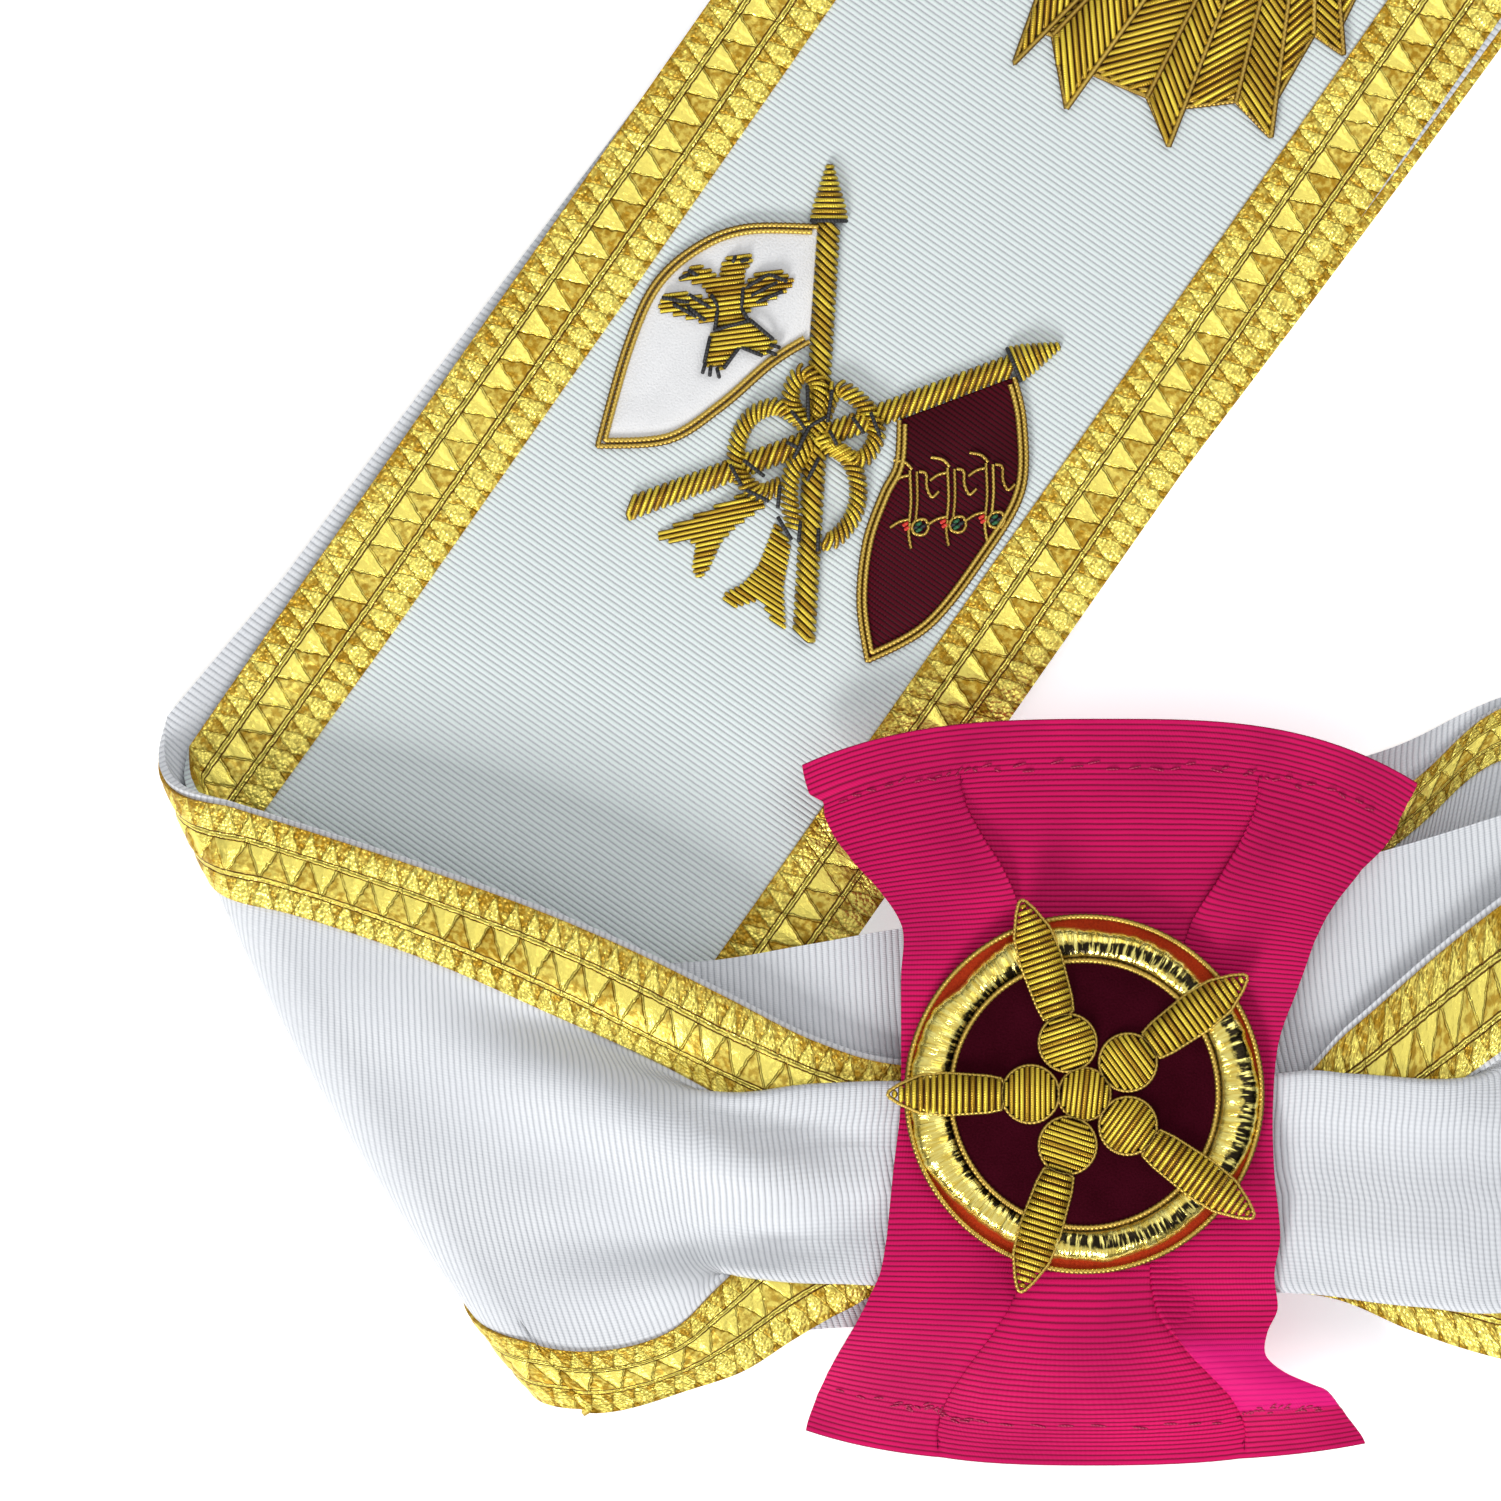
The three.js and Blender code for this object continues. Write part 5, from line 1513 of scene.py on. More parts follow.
def satin_along(path: Array, half_width: Callable, height: Callable, floor: float, pitch: float,
                slant: float, steps: int = 9) -> Array:
    """Return threads laid across a path, each humped over its padding.

    Args:
        path: the path's points, two numbers each.
        half_width: gives the half width at shares of the path's length.
        height: gives the padding's height there.
        floor: the height that the threads rise from.
        pitch: the distance between threads.
        slant: how much further along each thread ends than it starts.
        steps: points a thread.

    Returns:
        The threads' points.
    """
    travel = np.concatenate([[0.0], np.cumsum(np.linalg.norm(np.diff(path, axis=0), axis=1))])
    total = float(travel[-1])
    count = max(2, int(total / pitch))
    middle = (np.arange(count) + 0.5) / count * total
    w = np.linspace(-1, 1, steps)[None]
    at = np.clip(middle[:, None] + slant / 2 * w, 0, total)
    x = np.interp(at, travel, path[:, 0])
    y = np.interp(at, travel, path[:, 1])
    tangent = np.gradient(path, axis=0)
    tangent /= np.linalg.norm(tangent, axis=1, keepdims=True)
    nx = -np.interp(at, travel, tangent[:, 1])
    ny = np.interp(at, travel, tangent[:, 0])
    wide = half_width(at / total) * w
    z = floor + height(at / total) * dome(w) - 0.1
    return np.dstack([x + nx * wide, y + ny * wide, z])


def satin_inside(outline: Array, angle: float, pitch: float, floor: float, height: float,
                 steps: int = 7) -> Array:
    """Return parallel threads that fill an outline.

    Args:
        outline: the outline's points, two numbers each.
        angle: the threads' direction in degrees.
        pitch: the distance between threads.
        floor: the height that the threads rise from.
        height: how far they hump.
        steps: points a thread.

    Returns:
        The threads' points.
    """
    turn = math.radians(angle)
    run = np.array([math.cos(turn), math.sin(turn)])
    off = np.array([-run[1], run[0]])
    s, d = outline @ run, outline @ off
    lines = []
    for level in np.arange(d.min() + pitch / 2, d.max(), pitch):
        cuts = []
        for i in range(len(outline)):
            j = (i + 1) % len(outline)
            if (d[i] - level) * (d[j] - level) < 0:
                cuts.append(s[i] + (level - d[i]) / (d[j] - d[i]) * (s[j] - s[i]))
        cuts.sort()
        for start, end in zip(cuts[::2], cuts[1::2]):
            if end - start > pitch * 0.5:
                w = np.linspace(-1, 1, steps)
                along = (start + end) / 2 + (end - start) / 2 * w
                flat = along[:, None] * run + level * off
                rise = min(1.0, (end - start) / 5.0)
                lines.append(np.column_stack([flat, floor + height * rise * dome(w, 3.0) - 0.1]))
    return np.array(lines)


def add_wire(form: Form, points: Array, z: float | Array, radius: float, closed: bool,
             slot: int = 0, twist: float = 0.7, step: float = 0.3) -> None:
    """Add a twisted wire to a piece.

    Args:
        form: the piece.
        points: the wire's corners, two numbers each.
        z: its height, one for all or one a corner.
        radius: its radius.
        closed: whether it ends where it begins.
        slot: the material slot.
        twist: the length of one turn of the wire.
        step: the distance between its points.
    """
    corners = np.column_stack([points, np.broadcast_to(z, len(points))])
    if closed:
        corners = np.concatenate([corners, corners[:1]])
    travel = np.concatenate([[0.0], np.cumsum(np.linalg.norm(np.diff(corners, axis=0), axis=1))])
    at = np.linspace(0, travel[-1], max(3, int(travel[-1] / step)))
    line = np.column_stack([np.interp(at, travel, corners[:, k]) for k in range(3)])[None]
    beads = radius * (1 + 0.16 * np.sin(np.arange(len(at)) * step * 2 * math.pi / twist))[None]
    form.add_tubes(line, beads, FULL_TURN, slot, first=form.count)


def smooth_path(points: Sequence[Sequence[float]], count: int, closed: bool = False) -> Array:
    """Return a smooth path through points."""
    knots = np.array(points, float)
    if closed:
        knots = np.concatenate([knots[-1:], knots, knots[:2]])
        t = np.linspace(1, len(knots) - 2, count, endpoint=False) / (len(knots) - 1)
        return follow(knots, t)
    return follow(knots, np.linspace(0, 1, count))


def inset_outline(outline: Array, distance: float) -> Array:
    """Return an outline moved inwards, without the points that crowd in its corners."""
    area = np.sum(outline[:, 0] * np.roll(outline[:, 1], -1) - np.roll(outline[:, 0], -1) * outline[:, 1])
    before = outline - np.roll(outline, 1, axis=0)
    after = np.roll(outline, -1, axis=0) - outline
    before /= np.linalg.norm(before, axis=1, keepdims=True)
    after /= np.linalg.norm(after, axis=1, keepdims=True)
    normal = np.column_stack([-(before[:, 1] + after[:, 1]), before[:, 0] + after[:, 0]]) * np.sign(area)
    normal /= np.linalg.norm(normal, axis=1, keepdims=True)
    square = np.column_stack([-before[:, 1], before[:, 0]]) * np.sign(area)
    moved = outline + normal * (distance / np.maximum(0.3, np.sum(normal * square, axis=1)))[:, None]
    keep = []
    ends = np.roll(outline, -1, axis=0) - outline
    for p in moved:
        t = np.clip(np.sum((p - outline) * ends, axis=1) / np.sum(ends**2, axis=1), 0, 1)
        gap = np.min(np.linalg.norm(outline + t[:, None] * ends - p, axis=1))
        keep.append(gap > distance * 0.96)
    return moved[np.array(keep)]


def corner_outline(points: Sequence[Sequence[float]], unit: float, per_span: int = 8) -> Array:
    """Return a smooth outline that keeps the corners marked with a third value."""
    corners = [i for i, p in enumerate(points) if len(p) > 2]
    runs = []
    for n, start in enumerate(corners):
        end = corners[n + 1] if n + 1 < len(corners) else corners[0] + len(points)
        run = [points[i % len(points)][:2] for i in range(start, end + 1)]
        count = 2 if len(run) == 2 else (len(run) - 1) * per_span + 1
        runs.append(smooth_path(run, count)[:-1])
    return np.concatenate(runs) * unit


def add_plate(form: Form, outline: Array, floor: float, top: float, along: Array) -> None:
    """Add a flat cloth shape with a rim.

    Args:
        form: the piece.
        outline: the outline, counterclockwise.
        floor: the height of its underside.
        top: the height of its face.
        along: the direction across which its ribs lie.
    """
    count = len(outline)
    turn = np.column_stack([along, [-along[1], along[0]]])
    middle = outline.mean(axis=0)
    rings = []
    for share, z in ((1.0, floor), (1.0, top - 0.15), (0.985, top), (0.6, top), (0.25, top)):
        ring = middle + (outline - middle) * share
        rings.append(np.column_stack([ring, np.full(count, z)]))
    grid = np.stack(rings)
    grid = np.concatenate([grid, grid[:, :1]], axis=1)
    form.add_grid(grid, grid[:, :, :2] @ turn, 0, flip=True)
    cap = np.concatenate([grid[-1, :-1], [[*middle, top]]])
    fan = np.array([[i, (i + 1) % count, count] for i in range(count)])
    form.add(cap, cap[:, :2] @ turn, fan, 0)


# The badge


@dataclass
class Badge:
    """The round badge: red felt edge, velvet, padded foil ring and a five-armed wheel of coiled wire."""

    finishes: Finishes
    radius: float = 27.6
    felt: float = 1.4
    velvet_radius: float = 20.8
    velvet: float = 1.1
    ring_height: float = 2.1
    arms: int = 5
    hub_radius: float = 4.0
    boss_radius: float = 4.4
    boss_rise: float = 2.2
    arm_width: float = 6.4
    arm_height: float = 2.3
    pitch: float = 0.95
    wire: float = 0.3
    edge_wire: float = 0.42

    # How far the ring reaches at angles round it, and how far the arms do
    RING_ANGLES = np.array([0, 30, 45, 60, 90, 105, 125, 140, 150, 180, 205, 220, 240, 255, 300, 330, 345,
                            360])
    RING_REACH = np.array([26.6, 26.2, 25.0, 25.3, 25.2, 26.2, 25.4, 24.9, 26.4, 26.7, 26.6, 25.4, 25.2,
                           25.6, 25.6, 25.9, 26.6, 26.6])
    ARM_TIPS = (30.3, 32.0, 32.2, 30.9, 31.4)
    # An arm's places along it, with its width and height there as shares of the most
    ARM = np.array([[0.0, 0.72, 0.7], [0.12, 0.86, 0.9], [0.5, 1.0, 1.0], [0.72, 0.88, 0.95],
                    [0.9, 0.45, 0.6], [1.0, 0.1, 0.2]])

    def __post_init__(self) -> None:
        """Work out the heights of the badge's layers."""
        self.velvet_floor = BADGE_FLOOR + self.felt
        self.velvet_top = self.velvet_floor + self.velvet
        self.ring_inner = self.velvet_radius - 0.1
        self.boss_place = self.hub_radius + self.boss_radius - 0.1
        self.arm_start = self.boss_place + self.boss_radius

    def build(self) -> None:
        """Build every piece of the badge."""
        felt, velvet = self.finishes.red_felt, self.finishes.velvet
        self.disc("badge_felt", self.radius, BADGE_FLOOR, self.velvet_floor, felt, 0.12)
        self.disc("badge_velvet", self.velvet_radius, self.velvet_floor, self.velvet_top, velvet, 0.0)
        self.ring()
        self.boss("badge_hub", 0.0, 0.0, self.hub_radius, 84.0)
        for i in range(self.arms):
            turn = math.pi + i * 2 * math.pi / self.arms
            self.boss(f"badge_boss_{i + 1}", self.boss_place, turn, self.boss_radius,
                      90.0 + math.degrees(turn))
            self.arm(i, turn)
        self.edge_wires()

    def disc(self, node: str, radius: float, low: float, high: float, material: bpy.types.Material,
             wobble: float) -> None:
        """Build a flat round layer.

        Args:
            node: the CAD node that it stands for.
            radius: its radius.
            low: its underside.
            high: its face.
            material: its material.
            wobble: how unevenly its edge is cut.
        """
        angle = np.linspace(0, 2 * math.pi, 181)
        edge = radius + wobble * np.sin(angle * 7) + wobble * np.sin(angle * 13 + 1)
        rings = ((0.98, low), (1.0, low + 0.1), (1.0, high - 0.2), (0.985, high), (0.7, high), (0.3, high),
                 (0.004, high))
        grid = np.stack([np.column_stack([edge * share * np.cos(angle), edge * share * np.sin(angle),
                                          np.full(len(angle), z)]) for share, z in rings])
        form = Form(node + "_cloth")
        form.add_grid(grid, grid[:, :, :2], 0, flip=True)
        form.make([material], [node])

    def ring(self) -> None:
        """Build the padded ring of bright flat wire, pinched by its couching."""
        turns = 900
        angle = np.linspace(0, 2 * math.pi, turns + 1)
        around = np.linspace(-0.1, math.pi + 0.1, 13)
        rng = np.random.default_rng(5)

        def uneven(count: int) -> Array:
            """Return a seeded unevenness round the ring."""
            knots = rng.uniform(-1, 1, count + 1)
            knots[-1] = knots[0]
            return np.interp(angle, np.linspace(0, 2 * math.pi, count + 1), knots)

        crimp = uneven(150)
        reach = np.interp(np.degrees(angle) % 360, self.RING_ANGLES, self.RING_REACH)
        width = reach + 0.35 - self.ring_inner + 0.15 * crimp + 0.2 * uneven(40)
        middle = self.ring_inner + width / 2
        radius = middle[:, None] - width[:, None] / 2 * np.cos(around)[None]
        rise, run = np.sin(around)[None], np.cos(around)[None]
        pinch = 0.09 * crimp[:, None] * rise + 0.05 * uneven(60)[:, None] * run
        z = self.velvet_floor - 0.15 + self.ring_height * (rise + pinch)
        grid = np.dstack([radius * np.cos(angle)[:, None], radius * np.sin(angle)[:, None], z])
        places = np.dstack(np.meshgrid(angle * self.radius, around * 3, indexing="ij"))
        form = Form("badge_ring_foil")
        form.add_grid(grid, places, 0)
        form.make([self.finishes.foil], ["badge_ring"])

    def boss(self, node: str, distance: float, turn: float, radius: float, angle: float) -> None:
        """Build a round boss of parallel threads and the wire round it.

        Args:
            node: the CAD node that it stands for.
            distance: how far it lies from the badge's middle.
            turn: in which direction.
            radius: its radius.
            angle: the threads' direction in degrees.
        """
        form = Form(node + "_bullion")
        centre = distance * np.array([math.cos(turn), math.sin(turn)])
        circle = circle_points(radius, 48)
        pitch = self.pitch * 0.84
        threads = satin_inside(centre + circle * 0.93, angle, pitch, self.velvet_top, self.boss_rise, 11)
        off = np.linalg.norm(threads[:, :, :2] - centre, axis=2) / radius
        threads[:, :, 2] = self.velvet_top + self.boss_rise * dome(off, 2.4) - 0.25
        form.add_threads(threads, self.pitch * 0.34, pitch)
        add_wire(form, centre + circle, self.velvet_top + 0.35, self.wire, True, 1)
        form.make(self.finishes.wired, [node])

    def arm(self, index: int, turn: float) -> None:
        """Build one arm: threads across its padding, and the wire that outlines it."""
        rotate = np.array([[math.cos(turn), math.sin(turn)], [-math.sin(turn), math.cos(turn)]])
        floor = self.velvet_top + 0.5
        tip = self.ARM_TIPS[index]
        path = smooth_path(((self.arm_start, 0.0), (tip - 0.6, 0.0)), 40)
        half = lambda s: np.interp(s, self.ARM[:, 0], self.ARM[:, 1]) * self.arm_width / 2 - 0.35
        lift = lambda s: np.interp(s, self.ARM[:, 0], self.ARM[:, 2]) * self.arm_height
        threads = satin_along(path, half, lift, floor, self.pitch, 0.0, 11)
        threads[:, :, :2] = threads[:, :, :2] @ rotate
        form = Form(f"badge_arm_{index + 1}_bullion")
        form.add_threads(threads, self.pitch * 0.38, self.pitch)
        share = np.linspace(0, 1, 60)
        along = self.arm_start + share * (tip - self.arm_start)
        wide = np.interp(share, self.ARM[:, 0], self.ARM[:, 1]) * self.arm_width / 2
        wide[-1] = 0.0
        sides = [np.column_stack([along, wide]), np.column_stack([along, -wide])[::-1]]
        outline = np.concatenate(sides) @ rotate
        over = floor - 0.35 + 0.5 * smooth(np.linalg.norm(outline, axis=1), 19, 23)
        add_wire(form, outline, over, self.wire, True, 1)
        form.make(self.finishes.wired, [f"badge_arm_{index + 1}"])

    def edge_wires(self) -> None:
        """Build the wires that run round the felt's edge and inside the ring."""
        form = Form("badge_edge_wires")
        for radius, z in ((self.radius - 0.25, self.velvet_floor + 0.15),
                          (self.velvet_radius - 0.2, self.velvet_top)):
            add_wire(form, circle_points(radius, 240), z, self.edge_wire, True, 0, 0.8)
        form.make([self.finishes.wire], [])


# The crossed flags and the sunburst


@dataclass
class Devices:
    """The embroidered devices on the strand: crossed flags with their knot, and the sunburst."""

    finishes: Finishes
    layout: Layout
    drawn_field: float = 99.7
    knot_place: tuple[float, float] = (0.8686, 0.005)
    burst_place: tuple[float, float] = (1.788, 0.045)
    wire: float = 0.42
    second_wire: float = 3.1
    felt: float = 0.7
    stitch: float = 0.31
    fill: float = 0.76
    fill_thread: float = 0.29
    staff_half: float = 1.55
    staff_crossing: float = 0.482
    upright_height: float = 2.0
    slant_height: float = 1.7
    cord_half: float = 1.2
    cord_height: float = 1.9
    raised: float = 0.9
    lowered: float = 0.4
    figure_wire: float = 0.27
    figure_scale: float = 0.9
    burst_length: float = 134.0
    burst_width: float = 59.6
    burst_notch: float = 0.84
    burst_square: float = 0.8
    burst_turn: float = -3.0
    burst_pitch: float = 0.98
    ray_start: float = 0.12
    ray_step: float = 0.1
    ray_angle: float = 44.0
    boss_radius: float = 11.0

    # Outlines about the knot, in hundredths of the field or nearly so; a third value marks a corner
    WHITE_FLAG = ((1.6, 45.7, 1), (-15.2, 45.7), (-26.5, 41.3), (-36, 32.5), (-42.4, 18.1), (-48.6, -4, 1),
                  (-32, -2.9), (-20.1, 4.4), (-8.8, 14.1), (-0.4, 19.4, 1))
    MAROON_FLAG = ((18.2, 2.8, 1), (17.6, -7), (14.4, -13.6), (10.6, -24.5), (9.3, -38.2),
                   (11.3, -51.7, 1), (25.8, -43.7), (38.3, -28), (46.6, -13.5), (47, 2), (44.6, 12.7, 1))
    EAGLE = ((-30.4, 32.5), (-28.8, 34.7), (-26.3, 36.8), (-23.2, 35.9), (-20.9, 33.7), (-20.2, 37.2),
             (-18, 39.3), (-13.9, 38.8), (-13.5, 37), (-15.2, 35.9), (-15.5, 32.3), (-12.8, 34.7),
             (-7.6, 35.7), (-4.2, 33), (-5.6, 31.2), (-10.3, 28.2), (-15.5, 26), (-13.5, 24.1),
             (-8.1, 19.6), (-10.8, 16.5), (-16.4, 18.5), (-18, 16.7), (-20.2, 13.3), (-24.3, 14.7),
             (-23, 21), (-21.4, 22.8), (-21.8, 23.7), (-25.2, 24.1), (-30.6, 25.5), (-34.7, 26.6),
             (-33.3, 29.7), (-29.7, 30.8), (-23, 29.3), (-24.3, 31.8), (-27.5, 32.9))
    TAIL_LEFT = ((-15.6, -13.8), (-34.2, -22.3), (-34.6, -23.6), (-32.9, -24.4), (-25.9, -24.5),
                 (-26.8, -30.4), (-25.7, -32.5), (-23.6, -31.2), (-20.6, -24.5), (-17.3, -21.1),
                 (-10.1, -16))
    TAIL_RIGHT = ((-8.4, -19.8), (-10.1, -24.5), (-12.2, -29.9), (-15.6, -33.7), (-19.8, -35.9),
                  (-20, -37.4), (-17.3, -38.8), (-11.8, -37.1), (-9.3, -41.8), (-6.4, -43.4),
                  (-6.9, -34.6), (-6.2, -30.4), (-5.2, -24.9))
    UPRIGHT = ((-2.3, -46.1), (3.3, 46.6), (3.5, 58.9))
    SLANT = ((-41.3, -17.3), (44.3, 14.7), (54.3, 18.9))
    LOOPS = (
        ((-1, 0.5), (-5, 4), (-9, 5.4), (-14, 3), (-17, -3), (-16.5, -9.5), (-12, -13.5), (-7.5, -12)),
        ((-1, 1), (-4.5, 5), (-5, 9), (-2.5, 13), (1.2, 10), (0.5, 3)),
        ((1, 0), (4.5, 9), (9, 7.5), (13, 3), (13.6, -2), (10, -6.5), (5, -4), (1, -1)),
        ((-0.5, -2), (-4.5, -8), (-5.5, -15), (-4, -22)),
        ((2, -3), (7, -5.5), (9.6, -11), (9, -18), (5, -23.5), (1.8, -24.5)),
    )
    RAISED_LOOPS = (1, 3)
    # Stitches, each from one place to another
    KNOT_STITCHES = ((-4.5, -6, -1, 1), (-1, 1, 2.5, 3), (-5, 4.5, -2, 0.5), (-1.5, 10, -1.2, 2.5),
                     (4, 9, 3, 2), (-6, -2.5, -3, -4), (-18.5, -7.5, -16, -12), (-15.5, -6.5, -11, -10),
                     (-15, -13, -10, -15.5), (-7.5, -12, -8, -17), (-8, -19, -5, -24),
                     (-3, -20, -3.4, -24.5), (1, -6, -1.5, -11), (1, -21.5, 0.8, -26.5),
                     (8.5, 3, 11, -0.5), (12.5, 4, 14.5, -1), (3.5, 0, 5, -3))
    EAGLE_STITCHES = ((-33.5, 29.4, -27.5, 28.3), (-31, 28, -26, 25.2), (-27.5, 30, -22.5, 27),
                      (-28, 27.5, -24, 24.4), (-22.6, 30, -21.2, 27.4), (-21.2, 27.4, -21.8, 22.6),
                      (-15.6, 32, -16, 27), (-16, 27, -14.6, 24.6), (-15.2, 31.5, -10, 34.6),
                      (-14, 29.8, -8.2, 32.8), (-12.6, 28.4, -7, 30.8), (-10, 34.6, -6, 33),
                      (-22.2, 22.2, -14, 24.4), (-14, 24.4, -9, 20.2), (-22.9, 20.8, -24.2, 15),
                      (-16.4, 18.6, -19.9, 13.8), (-16.4, 18.6, -11.4, 16.6), (-24, 14.8, -24.6, 12.8),
                      (-22.8, 14.2, -23, 12.2), (-21.4, 13.8, -20.9, 11.8), (-9.6, 19, -7.6, 18.4),
                      (-10.2, 17.6, -8.4, 16.8), (-29.6, 33.6, -27.6, 34.6), (-27.6, 35.4, -25.6, 34.2),
                      (-17.9, 37.2, -17.4, 38.4), (-16.2, 37.4, -14.6, 37.8))

    # The beasts' middles, their strokes and coloured dots, and the rays' tips that the photograph shows
    FIGURES = ((21.1, -15.4), (29.4, -14.8), (37.9, -13.8))
    FIGURE_STROKES = (
        ((0.0, 5.2), (0.2, 0.0), (-0.1, -3.6)),
        ((1.2, 5.0), (1.3, 0.2), (1.0, -3.4)),
        ((0.4, 5.4), (-0.8, 6.6), (-2.8, 7.0)),
        ((0.0, 4.4), (-1.6, 4.0), (-3.0, 3.0)),
        ((1.6, 5.0), (2.8, 4.6), (2.9, 2.4), (3.8, 0.6), (5.0, 1.6)),
        ((-0.2, -3.2), (-1.8, -3.6), (-3.4, -4.6)),
        ((0.0, -3.8), (-0.2, -5.6), (0.2, -8.2)),
        ((1.0, -3.4), (2.6, -3.2), (3.2, -4.6), (2.4, -5.8), (0.8, -5.6), (0.4, -4.4), (1.0, -3.4)),
    )
    DOT = ((-0.35, -0.2), (0.0, 0.0), (0.35, 0.2))
    FIGURE_DOTS = (("green", 1.5, -4.0), ("black", 2.3, -4.4), ("green", 1.6, -5.0), ("black", 1.0, -4.6),
                   ("red", -0.7, -4.0), ("red", -0.4, -4.7))
    RAYS = 16
    SEEN_RAYS = ((30, -10.7, 159.0), (31, -4.7, 163.4), (0, -2.6, 152.0), (1, 9.9, 153.9), (2, 13.2, 146.2),
                 (3, 23.6, 153.2), (4, 29.0, 147.6), (5, 35.6, 163.6), (6, 40.2, 160.4))

    def __post_init__(self) -> None:
        """Work out the devices' unit and places."""
        field = RIBBON.width - 2 * (RIBBON.lace_margin + RIBBON.lace_width)
        self.unit = field / self.drawn_field
        self.knot = self.place(*self.knot_place)
        self.burst = self.place(*self.burst_place)

    def place(self, up: float, side: float) -> Array:
        """Return a place on the strand, by shares of the bow's reach up it and of its width across."""
        lay = self.layout
        return lay.fold_middle + up * BOW.reach * lay.up + side * RIBBON.width * lay.across

    def scaled(self, points: Sequence[Sequence[float]]) -> Array:
        """Return device points in millimetres."""
        return np.array([p[:2] for p in points], float) * self.unit + self.knot

    def build(self) -> None:
        """Build every device."""
        self.flag("flag_white", self.WHITE_FLAG, self.finishes.white_felt)
        self.flag("flag_maroon", self.MAROON_FLAG, self.finishes.maroon_silk)
        self.eagle()
        self.staffs()
        self.tails()
        self.bow_knot()
        self.figures()
        self.sunburst()

    def flag(self, name: str, points: Sequence[Sequence[float]], cloth: bpy.types.Material) -> None:
        """Build a flag's cloth and the double wire round it."""
        outline = corner_outline(points, self.unit) + self.knot
        top = FIELD_FLOOR + self.felt
        form = Form(name + "_cloth")
        add_plate(form, inset_outline(outline, self.wire), FIELD_FLOOR, top, self.layout.up)
        form.make([cloth], [name])
        border = Form(name + "_border")
        for distance in (self.wire, self.wire * self.second_wire):
            add_wire(border, inset_outline(outline, distance), top + 0.2, self.wire, False, 0, 0.7)
        border.make([self.finishes.wire], [name + "_wire"])

    def eagle(self) -> None:
        """Build the two-headed bird of parallel threads with its black stitches."""
        form = Form("eagle_bullion")
        floor = FIELD_FLOOR + self.felt
        threads = satin_inside(self.scaled(self.EAGLE), 7.0, self.fill, floor, 1.0)
        form.add_threads(threads, self.fill_thread, self.fill)
        self.add_stitches(form, self.EAGLE_STITCHES, floor + 1.15, 1)
        form.make(self.finishes.stitched, ["eagle"])

    def add_stitches(self, form: Form, table: Sequence[Sequence[float]], z: float, slot: int) -> None:
        """Add straight black stitches that arch a little over what they hold."""
        ends = np.array(table, float) * self.unit + np.tile(self.knot, 2)
        w = np.linspace(0, 1, 7)[None, :, None]
        flat = ends[:, None, :2] * (1 - w) + ends[:, None, 2:] * w
        arch = z - 0.35 + 0.5 * np.sin(w * math.pi)
        lines = np.concatenate([flat, np.broadcast_to(arch, (*flat.shape[:2], 1))], axis=2)
        form.add_tubes(lines, self.stitch, FULL_TURN, slot)

    def staffs(self) -> None:
        """Build both staffs and their finials."""
        upright, slant = self.scaled(self.UPRIGHT), self.scaled(self.SLANT)
        self.staff("staff_upright", upright[0], upright[1], self.upright_height)
        middle = slant[0] + (slant[1] - slant[0]) * self.staff_crossing
        self.staff("staff_slant_lower", slant[0], middle, self.slant_height)
        self.staff("staff_slant_upper", middle, slant[1], self.slant_height)
        self.finial("finial_upright", upright[1], upright[2])
        self.finial("finial_slant", slant[1], slant[2])

    def staff(self, name: str, start: Array, end: Array, height: float) -> None:
        """Build a staff of threads laid slantwise over padding."""
        form = Form(name + "_bullion")
        threads = satin_along(smooth_path([start, end], 60), lambda s: np.full_like(s, self.staff_half),
                              lambda s: np.full_like(s, height), FIELD_FLOOR, 1.2, 2.8)
        form.add_threads(threads, 0.35, 0.95)
        form.make([self.finishes.bullion], [name])

    def finial(self, name: str, base: Array, tip: Array) -> None:
        """Build a pointed finial with a black stitch at its neck."""
        form = Form(name + "_bullion")
        path = smooth_path([base, tip], 30)
        wide = lambda s: np.interp(s, [0, 0.25, 0.7, 1], [2.75, 2.35, 1.15, 0.3])
        high = lambda s: np.interp(s, [0, 0.3, 0.7, 1], [2.2, 2.6, 1.8, 0.7])
        form.add_threads(satin_along(path, wide, high, FIELD_FLOOR, 0.82, 0.0), 0.32, 0.82)
        run = (tip - base) / np.linalg.norm(tip - base)
        side = np.array([-run[1], run[0]])
        w = np.linspace(-1, 1, 9)
        neck = base - run * 0.15 + w[:, None] * side * 2.7
        line = np.column_stack([neck, FIELD_FLOOR + 2.3 * dome(w)])[None]
        form.add_tubes(line, 0.34, FULL_TURN, 1)
        form.make(self.finishes.stitched, [name])

    def tails(self) -> None:
        """Build the knot's two forked tails."""
        for name, points, angle in (("knot_tail_left", self.TAIL_LEFT, 12.0),
                                    ("knot_tail_right", self.TAIL_RIGHT, -34.0)):
            form = Form(name + "_bullion")
            threads = satin_inside(self.scaled(points), angle, self.fill, FIELD_FLOOR, 1.1)
            form.add_threads(threads, self.fill_thread, self.fill)
            form.make([self.finishes.bullion], [name])

    def bow_knot(self) -> None:
        """Build the loops of cord that tie the staffs, with the stitches that hold them."""
        form = Form("knot_bullion")
        count = 0
        for number, loop in enumerate(self.LOOPS):
            path = smooth_path(self.scaled(loop), 60)
            level = FIELD_FLOOR + (self.raised if number in self.RAISED_LOOPS else self.lowered)
            threads = satin_along(path, lambda s: np.full_like(s, self.cord_half),
                                  lambda s: np.full_like(s, self.cord_height), level, 0.95, 1.6)
            form.add_threads(threads, 0.31, 0.8, count)
            count += len(threads)
        self.add_stitches(form, self.KNOT_STITCHES, FIELD_FLOOR + 3.0, 1)
        form.make(self.finishes.stitched, ["knot"])

